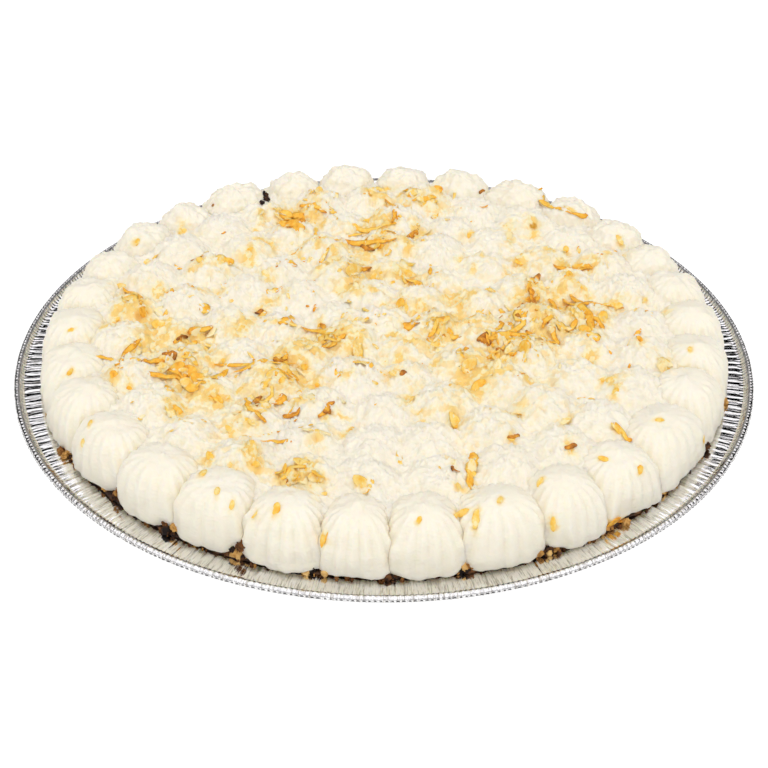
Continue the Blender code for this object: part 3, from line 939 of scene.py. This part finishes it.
topRosettes = {
    "rings": ((0.0854, 27), (0.0680, 22), (0.0508, 16), (0.0340, 11), (0.0170, 6), (0.0, 1)),
    "radius": 0.0088,
    "top": 0.0436,
    "flutes": 7,
    "groove": 0.00100,
    "domeReach": 1.36,
    "domeDrop": 0.0060,
    "drop": (
        (0.0, 0.0), (0.30, 0.06), (0.44, 0.13), (0.54, 0.21), (0.65, 0.36), (0.765, 0.58), (0.9, 0.84),
        (1.0, 1.0),
    ),
    "softness": 0.0007,
    "floorDrop": 0.78,
    "valleySharpness": 0.7,
    "heapSlope": 0.016,
    "angleSpread": 0.08,
    "reachSpread": 0.0010,
    "radiusSpread": (0.94, 1.06),
    "topSpread": (-0.0012, 0.0010),
    "seed": 28,
    "sheetRings": 172,
    "sheetRadius": 0.1004,
    # the creases that cover the sheet: how many to a metre, how deep, and whether they are sharp
    "creases": ((120, 0.00095, False), (290, 0.00110, True), (620, 0.00105, True), (1250, 0.00062, True)),
    # tears run level round each rosette: how many to a metre along and upward, and how deep
    "tears": (380, 2600, 0.00060),
    "skirt": (
        (0.1030, 0.0335), (0.1058, 0.0310), (0.1081, 0.0298), (0.1095, 0.0288), (0.1102, 0.0279),
        (0.1102, 0.0272),
    ),
    "skirtLift": 0.0005,
    "skirtRagged": ((0.0006, 330, 2.0), (0.0004, 900, 6.0)),  # how deep, how many to a metre, seed
    "skirtFixed": 0.0278,
}
creamLook = {
    "light": (0.985, 0.926, 0.780),
    "deep": (0.965, 0.885, 0.695),
    "stained": (0.985, 0.845, 0.475),
    "stain": 0.92,
    "gold": (0.980, 0.600, 0.105),
    "blots": 0.72,
    "scatter": 0.35,
    "scatterReach": 0.0035,
}


def creamMaterial():
    material, kit = newMaterial("whippedCream")
    place = kit.objectPlace()
    clouds = kit.noise(place, 70.0, 3.0)
    grain = kit.noise(place, 1500.0, 3.0, 0.6)
    stretched = kit.add("ShaderNodeMapping", {}, {"Vector": place, "Scale": (500.0, 500.0, 1500.0)})
    tears = kit.noise(stretched, 1.0, 2.0)
    tint = kit.blend(clouds, creamLook["light"], creamLook["deep"])
    # Coconut that has sunk in tints the cream round the heaps and shows through as golden blots
    dust = kit.painted("dust")
    blots = kit.noise(place, 330.0, 3.0)
    soft = kit.fade(blots + dust * 0.30, 0.42, 0.70)
    sunk = kit.fade(blots + dust * 0.16, 0.57, 0.68)
    tint = kit.blend(soft * dust ** 0.8 * creamLook["stain"], tint, creamLook["stained"])
    closeMaterial(kit, {
        "Base Color": kit.blend(sunk * dust * creamLook["blots"], tint, creamLook["gold"]),
        "Roughness": clouds * 0.15 + 0.42, "Specular IOR Level": 0.3,
        "Subsurface Weight": creamLook["scatter"], "Subsurface Radius": (1.0, 0.75, 0.45),
        "Subsurface Scale": creamLook["scatterReach"], "Normal": kit.bump(grain * 0.5 + tears, 0.7, 0.0004)})
    return material


def footGap(degrees):
    gaps = (much * math.exp(-((degrees - middle) / half) ** 2) for middle, half, much in edgeRosettes["gaps"])
    small = max(0.0, 0.8 * noise.noise(Vector((degrees * 0.11, 3.0, 7.0))))
    return min(edgeRosettes["widestGap"], sum(gaps) + small)


def pipedDome(place, heading, halfSizes, height, turn, seed, back):
    # A fluted dome: rows from the foot to the tip, columns round it; back says how much of a back one it is
    shape = edgeRosettes
    columns, rows, flutes = shape["flutes"] * shape["columnsPerFlute"], shape["rows"], shape["flutes"]
    line = smoothLine(shape["profile"], rows + 1) * (1 - back)
    line = line + smoothLine(shape["backProfile"], rows + 1) * back
    steps = np.gradient(line, axis=0) * np.array(((halfSizes[0] + halfSizes[1]) / 2, height))
    low, high = (a * (1 - back) + b * back for a, b in zip(shape["squareness"], shape["backSquareness"]))
    spread, lean = shape["spread"] * (1 - back), shape["lean"]
    cosH, sinH = math.cos(heading), math.sin(heading)
    wobble = random.Random(seed)
    tipX, tipY = (wobble.uniform(-shape["tipWander"], shape["tipWander"]) for _ in range(2))
    twist = wobble.uniform(*shape["twist"])
    groove = shape["groove"] * wobble.uniform(*shape["grooveSpread"]) * (1 - 0.45 * back)
    raggedRows, gapRows, footWander = shape["raggedRows"], shape["gapRows"], shape["footWander"]
    points = [(place.x, place.y, place.z)]

    def put(u, v, w):
        points.append((place.x + u * cosH - v * sinH, place.y + u * sinH + v * cosH, place.z + w))

    for row in range(rows):
        share, lift = line[row]
        normal = Vector((steps[row][1], -steps[row][0])).normalized()
        along = row / rows
        squareness = low + (high - low) * min(1.0, max(0.0, lift * 1.25 - 0.25))
        cut = groove * min(1.0, 0.25 + along * 4.0) * min(1.0, max(0.0, share - 0.45) * 2.6)
        nearTip = max(0.0, 1 - share) ** 1.5
        for k in range(columns):
            angle = 2 * math.pi * k / columns
            cosA, sinA = math.cos(angle + turn), math.sin(angle + turn)
            square = (abs(cosA) ** squareness + abs(sinA) ** squareness) ** (-1 / squareness)
            drift = 0.25 * noise.noise(Vector((seed, angle, lift * 2)))
            valley = 1 - abs(math.sin(angle * flutes / 2 + twist * along * 6 + drift)) ** 1.25
            u = share * square * cosA * halfSizes[0]
            v = share * square * sinA * halfSizes[1] * (1 + spread * cosA * square)
            spot = (u, v, lift * height)
            wave = shape["waves"] * rough(spot, 170, seed) * 2
            lump = shape["lumps"] * rough(spot, 330, seed + 50) * (0.5 + 1.9 * back)
            crinkle = noise.noise(Vector((u * 520 + seed, v * 520, lift * height * 1500 - seed)))
            crinkle += 0.7 * noise.noise(Vector((u * 1100, v * 1100 + seed, lift * height * 2400)))
            push = wave + lump + shape["crinkles"] * crinkle * (1.6 + 2.6 * back) - cut * valley
            u += cosA * normal.x * push + tipX * nearTip - lean * lift
            v += sinA * normal.x * push + tipY * nearTip
            w = lift * height + normal.y * push
            if row < raggedRows:
                # the foot ends raggedly, here on the foil and there a little above it
                ragged = noise.noise(Vector((u * 240 + seed, v * 240, 1.0)))
                ragged += 0.7 * noise.noise(Vector((u * 700, v * 700 + seed, 5.0)))
                w += max(0.0, ragged * shape["raggedFoot"] + 0.0003) * (1 - row / raggedRows)
                u += footWander * ragged * cosA
                v += footWander * ragged * sinA
            if row < gapRows and cosA > 0:
                x, y = place.x + u * cosH - v * sinH, place.y + u * sinH + v * cosH
                gap = footGap(math.degrees(math.atan2(y, x))) * (1 - row / gapRows) * min(1.0, cosA * 1.6)
                u -= shape["gapReach"] * gap
                w += shape["gapLift"] * gap * max(0, 1 - row / 6)
            put(u, v, max(0.0, w))
    share, lift = line[rows]
    put(tipX - lean * lift, tipY, lift * height)
    faces = []
    last = 1 + (rows - 1) * columns
    for k in range(columns):
        j = (k + 1) % columns
        faces.append((0, 1 + j, 1 + k))
        for a in range(1, last, columns):
            faces.append((a + k, a + j, a + columns + j, a + columns + k))
        faces.append((last + k, last + j, len(points) - 1))
    return points, faces


def outerDomes():
    rng = random.Random(edgeRosettes["seed"])
    ring, seams = edgeRosettes["ringRadius"], edgeRosettes["seams"]
    domes = []
    for i, start in enumerate(seams):
        width = (seams[(i + 1) % len(seams)] - start) % 360
        middle = math.radians(start + width / 2)
        turn = rng.uniform(0, math.pi)
        slope = -topRosettes["heapSlope"] * ring * math.sin(middle)
        height = edgeRosettes["height"] * rng.uniform(*edgeRosettes["heightSpread"]) + slope
        foot = crust["top"] - edgeRosettes["footUnderCrust"] + rng.uniform(0, edgeRosettes["footSpread"])
        back = min(1.0, max(0.0, (math.sin(middle) - edgeRosettes["backFrom"]) / edgeRosettes["backOver"]))
        height *= 1 - back + back * edgeRosettes["backHeight"]
        depth, press = (edgeRosettes[front] * (1 - back) + edgeRosettes[behind] * back
                        for front, behind in (("depth", "backDepth"), ("press", "backPress")))
        place = Vector((ring * math.cos(middle), ring * math.sin(middle), foot))
        half = (depth, ring * math.radians(width) / 2 * press)
        domes.append(pipedDome(place, middle, half, height, turn, 10.0 + i * 3.7, back))
    return domes


def innerCentres():
    # Place, radius, top and turn of every rosette inside the outer ring
    rng = random.Random(topRosettes["seed"])
    sideways, inOut = topRosettes["angleSpread"], topRosettes["reachSpread"]
    centres = []
    for ring, count in topRosettes["rings"]:
        phase = rng.uniform(0, 2 * math.pi)
        for i in range(count):
            angle = phase + 2 * math.pi * (i + rng.uniform(-sideways, sideways)) / count
            reach = ring + rng.uniform(-inOut, inOut)
            x, y = reach * math.cos(angle), reach * math.sin(angle)
            radius = topRosettes["radius"] * rng.uniform(*topRosettes["radiusSpread"])
            top = topRosettes["top"] - topRosettes["heapSlope"] * y + rng.uniform(*topRosettes["topSpread"])
            centres.append((x, y, radius, top, rng.uniform(0, math.pi)))
    return centres


def sheetHeights(x, y):
    # Rosettes pressed together: the highest dome wins, and creases run over all of them
    share, drop = zip(*topRosettes["drop"])
    soft, fullDrop = topRosettes["softness"], topRosettes["domeDrop"]
    high = topRosettes["top"] - topRosettes["heapSlope"] * y - fullDrop * topRosettes["floorDrop"]
    for cx, cy, radius, top, turn in innerCentres():
        dx, dy = x - cx, y - cy
        angle = np.arctan2(dy, dx) + turn
        far = np.hypot(dx, dy) / (radius * topRosettes["domeReach"])
        valley = 1 - np.abs(np.sin(angle * topRosettes["flutes"] / 2)) ** topRosettes["valleySharpness"]
        groove = valley * topRosettes["groove"] * np.clip(far * 3.0 - 0.3, 0, 1)
        dome = np.where(far < 1, top - (np.interp(far, share, drop) * fullDrop + groove), -1)
        high = np.maximum(high, dome) + soft * np.exp(-np.abs(high - dome) / soft) * 0.5
    return high


def crease(x, y, height):
    # Ragged relief of stiff cream at one point
    along, upward, deep = topRosettes["tears"]
    total = -deep * abs(noise.noise(Vector((x * along, y * along, height * upward)))) * 2
    for k, (scale, depth, sharp) in enumerate(topRosettes["creases"]):
        value = noise.noise(Vector((x * scale + 7.1 * k, y * scale * 1.25 - 3.3 * k, 4.2 * k)))
        total += depth * (0.35 - abs(value) * 1.6 if sharp else value)
    return total


def ringStart(k):
    # Ring k of the sheet has 6 k points, after one in the middle
    return 1 + 3 * k * (k - 1)


def creamSheet():
    rings, radius = topRosettes["sheetRings"], topRosettes["sheetRadius"]
    plan = [(0.0, 0.0)]
    for k in range(1, rings + 1):
        for i in range(6 * k):
            turn = 2 * math.pi * i / (6 * k)
            plan.append((radius * k / rings * math.cos(turn), radius * k / rings * math.sin(turn)))
    x, y = np.array(plan).T
    points = [(px, py, h + crease(px, py, h)) for (px, py), h in zip(plan, sheetHeights(x, y))]
    faces = []
    for k in range(rings):
        within, beyond, count = ringStart(k), ringStart(k + 1), 6 * (k + 1)
        for side in range(6):
            for i in range(k + 1):
                outer = side * (k + 1) + i
                inner = 0 if k == 0 else within + (side * k + i) % (6 * k)
                faces.append((inner, beyond + outer, beyond + (outer + 1) % count))
                if i < k:
                    faces.append((inner, beyond + (outer + 1) % count, within + (side * k + i + 1) % (6 * k)))
    # The skirt runs out under the outer rosettes, nearly to the crust's edge
    n, edge = 6 * rings, ringStart(rings)
    for k, (fullReach, height) in enumerate(topRosettes["skirt"]):
        for i in range(n):
            turn = 2 * math.pi * i / n
            gap = footGap((math.degrees(turn) + 180) % 360 - 180) * min(1.0, k / 3)
            reach = fullReach - edgeRosettes["gapReach"] * gap
            spot = (reach * math.cos(turn), reach * math.sin(turn), height)
            ragged = sum(deep * rough(spot, scale, seed) for deep, scale, seed in topRosettes["skirtRagged"])
            out = 1 + ragged / reach
            lift = 0.0
            if height > topRosettes["skirtFixed"]:
                lift = topRosettes["skirtLift"] * rough(spot, 260, 8.0)
            points.append((spot[0] * out, spot[1] * out, height + lift))
        start = len(points) - n
        faces.extend((edge + i, start + i, start + (i + 1) % n, edge + (i + 1) % n) for i in range(n))
        edge = start
    points.append((0, 0, topRosettes["skirt"][-1][1]))
    faces.extend((edge + i, len(points) - 1, edge + (i + 1) % n) for i in range(n))
    return points, faces


def makeCream(name, groups, material):
    thing = closedObject(name, *gather(groups), material)
    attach(thing, "root")
    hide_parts("whipped_cream")
    return thing


creamFinish = creamMaterial()
creamEdge = makeCream("creamEdge", outerDomes(), creamFinish)
creamTop = makeCream("creamTop", [creamSheet()], creamFinish)
creamShape = gather([
    ([v.co.copy() for v in part.data.vertices], [tuple(f.vertices) for f in part.data.polygons])
    for part in (creamEdge, creamTop)])
creamSurface = BVHTree.FromPolygons(*creamShape)
for creamPart in (creamEdge, creamTop):
    giveNumbers(creamPart.data, dust=dustOn(np.array([v.co[:] for v in creamPart.data.vertices])))
print("cream ready", len(creamEdge.data.polygons), len(creamTop.data.polygons))


# Crust crumbs in the notches at the cream's foot
crumbs = {
    "reach": (0.1098, 0.1121),
    "sideways": 0.8,  # in degrees
    "sunk": (0.25, 0.7),
    "perSeam": (3, 7),
    "size": (0.0007, 0.0019),
    # the larger bits: picture x and y, size in millimetres, how brown, the darkest being crust and painted
    # shade in the notch
    "chunks": (
        (49, 414, 1.0, 0.32), (50, 420, 0.8, 0.42), (70, 451, 1.41, 0.26), (65, 457, 1.04, 0.42),
        (61, 452, 1.0, 0.52), (106, 488, 1.11, 0.37), (118, 493, 1.3, 0.52), (127, 501, 0.96, 0.47),
        (166, 525, 1.0, 0.66), (175, 528, 1.15, 0.40), (187, 534, 0.96, 0.27), (197, 543, 1.0, 0.42),
        (232, 549, 0.96, 0.82), (241, 546, 1.33, 0.67), (246, 557, 1.04, 0.27), (306, 573, 0.96, 0.22),
        (313, 570, 1.26, 0.87), (380, 578, 0.8, 0.62), (392, 577, 0.9, 0.82), (463, 570, 1.33, 0.87),
        (470, 567, 1.2, 0.52), (547, 550, 1.41, 0.77), (556, 548, 1.2, 0.42), (593, 537, 1.0, 0.62),
        (608, 527, 1.26, 0.57), (626, 523, 1.2, 0.37), (664, 488, 1.18, 0.47), (702, 447, 1.04, 0.37),
        (724, 402, 1.2, 0.42), (721, 409, 1.0, 0.32),
    ),
    # nearly black bits in the notches between the back rosettes, painted shade for the dark gaps there
    "notches": ((264, 195, 1.4, 1.0), (266, 200, 1.2, 0.97), (262, 203, 0.9, 0.95), (213, 206, 0.6, 0.5)),
    "flangeLevel": 0.0264,
    "chunkReach": 0.1106,
    "alongFoot": 260,
    "footReach": (0.1117, 0.1126),
    "footSize": (0.00025, 0.0006),
    # golden to nearly black; the darkest are painted shade in the notches and under the cream's foot
    "brownsAndShade": (
        (0.00, (0.86, 0.58, 0.22)), (0.34, (0.62, 0.33, 0.085)), (0.66, (0.22, 0.085, 0.020)),
        (0.95, (0.045, 0.017, 0.006)), (1.00, (0.012, 0.006, 0.004)),
    ),
    "seed": 41,
}


def crumbMaterial():
    material, kit = newMaterial("crustCrumb")
    mottle = kit.noise(kit.objectPlace(), 700.0, 3.0)
    closeMaterial(kit, {
        "Base Color": kit.ramp(kit.painted("brown") + (mottle - 0.5) * 0.8, crumbs["brownsAndShade"]),
        "Roughness": mottle * 0.3 + 0.45, "Specular IOR Level": 0.22,
        "Normal": kit.bump(mottle, 0.6, 0.0003)})
    return material


def crumbSpots():
    # Reach, angle, height, size and tone of the small crumbs
    rng = random.Random(crumbs["seed"])
    spots = []
    for seam in edgeRosettes["seams"]:
        for _ in range(rng.randint(*crumbs["perSeam"])):
            angle = math.radians(seam + rng.gauss(0, crumbs["sideways"]))
            size = rng.uniform(*crumbs["size"])
            reach = rng.uniform(*crumbs["reach"])
            level, tone = crumbs["flangeLevel"] + size * rng.uniform(*crumbs["sunk"]), rng.random()
            # a third are golden, the others nearly black: crust, and painted shade in the notch between two
            # rosettes
            spots.append((reach, angle, level, size, 0.08 + tone if tone < 0.33 else 0.72 + 0.30 * tone))
    # Nearly black crumbs along the cream's foot: crust, and painted shade for the dark line under the foot
    for _ in range(crumbs["alongFoot"]):
        angle = rng.uniform(0, 2 * math.pi)
        size = rng.uniform(*crumbs["footSize"])
        level = crumbs["flangeLevel"] - 0.0002 + size * 0.5
        spots.append((rng.uniform(*crumbs["footReach"]), angle, level, size, rng.triangular(0.3, 1.0, 0.9)))
    return spots


def chunkSpots():
    # The same of the larger bits
    found = []
    for x, y, size, brown in crumbs["chunks"]:
        # in the notch between two rosettes, at the height where the line of sight meets their front
        sights = (planPoint(x, y, crumbs["flangeLevel"] + 0.0002 * k) for k in range(40))
        spot = min(sights, key=lambda s: abs(math.hypot(s.x, s.y) - crumbs["chunkReach"]))
        found.append((spot, 0.0003, size, brown * 1.6 - 0.30))
    found += [(seenPoint(x, y)[0], 0, size, brown) for x, y, size, brown in crumbs["notches"]]
    return [(math.hypot(spot.x, spot.y), math.atan2(spot.y, spot.x), spot.z + lift, size / 1000, brown)
            for spot, lift, size, brown in found]


def asLumps(spots):
    rng = random.Random(crumbs["seed"] + 1)
    return [{
        "place": (reach * math.cos(angle), reach * math.sin(angle), level), "size": (size, size, size),
        "turn": [rng.uniform(0, 6.28) for _ in range(3)], "grain": size, "brown": brown,
    } for reach, angle, level, size, brown in spots]


def lumpTree():
    kit, given = newTree("layTheLumps", {"Smoothness": "Int", "Lumpiness": "Float", "Fineness": "Float"})
    lump = kit.add("GeometryNodeMeshIcoSphere", {}, {"Radius": 1.0, "Subdivisions": given["Smoothness"]})
    turn, size = kit.named("turn", "FLOAT_VECTOR"), kit.named("size", "FLOAT_VECTOR")
    laid = kit.layOn(given["Geometry"], lump, turn, size)
    uneven = kit.noise(kit.add("GeometryNodeInputPosition"), given["Fineness"], 3.0, 0.6)
    push = (uneven - 0.5) * kit.named("grain") * given["Lumpiness"]
    laid = kit.move(laid, "Offset", kit.vectors("SCALE", kit.add("GeometryNodeInputNormal"), push))
    closeTree(kit, kit.smooth(laid), given["Material"])
    return kit


def layLumps(name, lumps, tone, settings, material):
    # Small lumps of any proportion, each with its place, turn, half sizes, unevenness and tone
    columns = {key: [lump[key] for lump in lumps] for key in ("place", "size", "turn", "grain", tone)}
    mesh = meshFrom(name, columns["place"], [])
    giveVectors(mesh, size=columns["size"], turn=columns["turn"])
    giveNumbers(mesh, **{"grain": columns["grain"], tone: columns[tone]})
    thing = newObject(name, mesh)
    growWith(thing, lumpTree(), {**settings, "Material": material})
    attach(thing, "root")
    return thing


crumbFinish = crumbMaterial()
crustCrumbs = layLumps("crustCrumbs", asLumps(crumbSpots()), "brown", {
    "Smoothness": 1, "Lumpiness": 1.8, "Fineness": 520.0}, crumbFinish)
crustChunks = layLumps("crustChunks", asLumps(chunkSpots()), "brown", {
    "Smoothness": 4, "Lumpiness": 3.0, "Fineness": 1000.0}, crumbFinish)
print("crumbs ready", len(crustCrumbs.data.polygons), len(crustChunks.data.polygons))


# Toasted coconut
def coconutMaterial():
    material, kit = newMaterial("toastedCoconut")
    place = kit.objectPlace()
    mottle = kit.noise(place, 520.0, 3.0, 0.6)
    fibres = kit.noise(place, 2600.0, 2.0)
    tips = kit.math("ABSOLUTE", kit.painted("along") * 2 - 1) ** 2.0
    shade = kit.painted("toast") + tips * kit.painted("tip") + (mottle - 0.5) * 1.0
    closeMaterial(kit, {
        "Base Color": kit.ramp(shade, coconut["colours"]), "Roughness": mottle * 0.2 + 0.42,
        "Specular IOR Level": 0.35, "Subsurface Weight": 0.12, "Subsurface Radius": (1.0, 0.5, 0.2),
        "Subsurface Scale": 0.0010, "Normal": kit.bump(fibres, 0.4, 0.0002)})
    return material


def onePiece(rng, kind, place, heading=None):
    turn = rng.uniform(0, 2 * math.pi) if heading is None else heading + rng.gauss(0, 0.45)
    return {
        "place": place, "heading": turn, "length": rng.uniform(*kind["length"]),
        "width": rng.uniform(*kind["width"]), "toast": rng.triangular(*kind["toast"]),
        "bow": rng.uniform(-kind["bow"], kind["bow"]), "lift": rng.uniform(*kind["lift"]),
        "roll": rng.gauss(0, 0.12), "tip": rng.choice(coconut["tips"])}


def scatter(rng, kind):
    # Some lie loose in the patches, most in the heaps
    pieces = []
    while len(pieces) < kind["count"]:
        place = looseSpot(rng)
        if math.hypot(*place) < coconut["looseReach"]:
            pieces.append(onePiece(rng, kind, place))
    for middle, along, across, area in heapShapes():
        heading = math.atan2(along.y, along.x)
        number = round(area * kind["perArea"] * 0.79 * crowding(area))
        for _ in range(number):
            turn, reach = rng.uniform(0, 2 * math.pi), math.sqrt(rng.random()) * (0.95 if number > 1 else 0.1)
            spot = middle + along * reach * math.cos(turn) + across * reach * math.sin(turn)
            piece = onePiece(rng, kind, (spot.x, spot.y), heading)
            # no piece is larger than its heap looks
            piece["length"] = min(piece["length"], 2.1 * along.length)
            piece["width"] = min(piece["width"], 1.7 * across.length)
            pieces.append(piece)
    return pieces


def seenShreds(rng, kind):
    pieces = []
    for x0, y0, x1, y1, width, toast, bow in coconut["shreds"]:
        start, end = seenPoint(x0, y0)[0], seenPoint(x1, y1)[0]
        middle, way = (start + end) / 2, end - start
        piece = onePiece(rng, kind, (middle.x, middle.y))
        piece.update({
            "heading": math.atan2(way.y, way.x), "length": math.hypot(way.x, way.y),
            "width": width * coconut["shredFullness"] / 1000, "toast": toast, "bow": bow,
            "lift": coconut["shredLift"], "tip": coconut["shredTip"]})
        pieces.append(piece)
    return pieces


def shredTree():
    kit, given = newTree("layTheShreds", {
        "Cream": "Object", "Steps": "Int", "Thickness": "Float", "Wander": "Float", "Settle": "Int"})
    named = kit.named
    line = kit.add("GeometryNodeCurvePrimitiveLine", {}, {"Start": (-0.5, 0, 0), "End": (0.5, 0, 0)})
    line = kit.add("GeometryNodeResampleCurve", {}, {"Curve": line, "Count": given["Steps"]})
    laid = kit.layOn(given["Geometry"], line, kit.join(z=named("heading")), named("length"))
    factor = kit.add("GeometryNodeSplineParameter").other("Factor")
    laid = kit.store(laid, "along", factor)
    # Bowed sideways, then wandering a little, as shreds dry in the oven
    side = factor * 2 - 1
    bowed = named("length") * named("bow") * (1 - side * side)
    turn = named("heading")
    sideways = kit.join(kit.math("SINE", turn) * bowed * -1, kit.math("COSINE", turn) * bowed)
    laid = kit.move(laid, "Offset", sideways)
    place = kit.add("GeometryNodeInputPosition")
    drift = kit.vectors("SUBTRACT", kit.noise(place, 260.0, 1.0).other("Color"), (0.5, 0.5, 0.5))
    drift = kit.vectors("MULTIPLY", kit.vectors("SCALE", drift, given["Wander"]), (1, 1, 0))
    laid = kit.move(laid, "Offset", drift)
    # Dropped on the cream; a shred is stiffer than the hollows under it
    cream = kit.add("GeometryNodeObjectInfo", {}, {"Object": given["Cream"]}).other("Geometry")
    x, y, _ = kit.split(place)
    ray = kit.add("GeometryNodeRaycast", {}, {
        "Target Geometry": cream, "Source Position": kit.join(x, y, 0.09), "Ray Direction": (0, 0, -1),
        "Ray Length": 0.1})
    _, _, ground = kit.split(ray.other("Hit Position"))
    ground = kit.math("MAXIMUM", ground, 0.0268)  # past the cream it would lie on the flange
    laid = kit.store(laid, "ground", ground)
    soft = kit.add("GeometryNodeBlurAttribute", {"data_type": "FLOAT"}, {
        "Value": named("ground"), "Iterations": given["Settle"]})
    level = kit.math("MAXIMUM", soft, named("ground") * 0.5 + soft * 0.5) + named("lift")
    laid = kit.move(laid, "Position", kit.join(x, y, level))
    # Flat on the slope that it lies on
    lean = kit.add("GeometryNodeBlurAttribute", {"data_type": "FLOAT_VECTOR"}, {
        "Value": ray.other("Hit Normal"), "Iterations": 2})
    across = kit.vectors("CROSS_PRODUCT", kit.add("GeometryNodeInputTangent"), lean)
    laid = kit.add("GeometryNodeSetCurveNormal", {"mode": "FREE"}, {"Curve": laid, "Normal": across})
    laid = kit.add("GeometryNodeSetCurveTilt", {}, {"Curve": laid, "Tilt": named("roll")})
    ring = kit.add("GeometryNodeCurvePrimitiveCircle", {"mode": "RADIUS"}, {"Resolution": 6, "Radius": 0.5})
    flat = kit.join(1.0, given["Thickness"], 1.0)
    ring = kit.add("GeometryNodeTransform", {}, {"Geometry": ring, "Scale": flat})
    ends = (1 - (side * side) ** 2.5 * 0.62) * (kit.noise(place, 520.0, 1.0) * 1.3 + 0.35)
    mesh = kit.add("GeometryNodeCurveToMesh", {}, {
        "Curve": laid, "Profile Curve": ring, "Scale": named("width") * ends, "Fill Caps": True})
    closeTree(kit, kit.smooth(mesh), given["Material"])
    return kit


def layPieces(name, pieces, kind, land, material):
    mesh = meshFrom(name, [(*piece["place"], 0.05) for piece in pieces], [])
    giveNumbers(mesh, **{key: [piece[key] for piece in pieces] for key in pieces[0] if key != "place"})
    thing = newObject(name, mesh)
    growWith(thing, shredTree(), {
        "Cream": land, "Steps": kind["steps"], "Thickness": kind["thickness"], "Wander": kind["wander"],
        "Settle": kind["settle"], "Material": material})
    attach(thing, "root")
    return thing


def flatPiece(spot, way, facing, length, width, toast, sunk):
    # A flake that lies flat on the cream, more or less sunk in
    thick = coconut["flatThickness"]
    turn = Matrix((way, facing.cross(way), facing)).transposed().to_euler()
    return {
        "place": spot - facing * thick * sunk, "turn": turn, "grain": thick * 1.6, "toast": toast,
        "size": (length / 2, width / 2, thick / 2)}


def flakesInHeaps(rng):
    # Picture place, length, width and angle of each
    flakes = []
    for x, y, length, width, degrees in coconut["heaps"]:
        if length * width <= coconut["oneFlake"]:
            flakes.append((x, y, length, width, degrees))
            continue
        c, s = turned(degrees)
        for _ in range(round(length * width * coconut["flakesPerArea"])):
            turn, reach = rng.uniform(0, 2 * math.pi), math.sqrt(rng.random()) * 0.46
            a, b = length * reach * math.cos(turn), width * reach * math.sin(turn)
            size = [rng.uniform(*limits) for limits in coconut["heapFlake"]]
            flakes.append((x + a * c + b * s, y - a * s + b * c, *size, degrees + rng.gauss(0, 35)))
    return flakes


def flatPieces(rng):
    lumps = []
    for x, y, degrees, length, width, *toast in coconut["strays"]:
        spot, way, facing = strayAxes(x, y, degrees)
        tone = toast[0] if toast else rng.triangular(*coconut["strayToast"])
        lumps.append(flatPiece(spot, way, facing, length / 1000, width / 1000, tone, coconut["straySunk"]))
    right, up, back, place = cameraFrame()
    longest, widest = coconut["flatLargest"]
    for x, y, length, width, degrees in flakesInHeaps(rng):
        spot, facing = seenPoint(x, y)
        scale = (spot - place).length / camera["focalPixels"]
        c, s = turned(degrees)
        steep = max(0.4, back.dot(facing))
        along, across = (
            way - back * (way.dot(facing) / steep) for way in (right * c + up * s, up * c - right * s))
        along = along - facing * along.dot(facing)
        wide = along.cross(across).length / along.length
        lumps.append(flatPiece(
            spot, along.normalized(), facing, min(longest, length * scale * along.length),
            min(widest, width * scale * wide), rng.triangular(*coconut["flatToast"]), coconut["flatSunk"]))
    return lumps


def makeCoconut():
    land = newObject("creamLand", meshFrom("creamLand", *creamShape))
    rng = random.Random(coconut["seed"])
    material = coconutMaterial()
    made = []
    names = {"strands": "coconutStrands", "flakes": "coconutFlakes", "flecks": "coconutFlecks"}
    for key, name in names.items():
        kind = coconut[key]
        pieces = scatter(rng, kind)
        if key == "strands":
            pieces += seenShreds(rng, kind)
        made.append(layPieces(name, pieces, kind, land, material))
    bpy.data.objects.remove(land)
    made.append(layLumps("coconutChips", flatPieces(rng), "toast", {
        "Smoothness": 2, "Lumpiness": 1.2, "Fineness": 520.0}, material))
    return made


coconutPieces = makeCoconut()
print("coconut ready", [len(piece.data.polygons) for piece in coconutPieces])
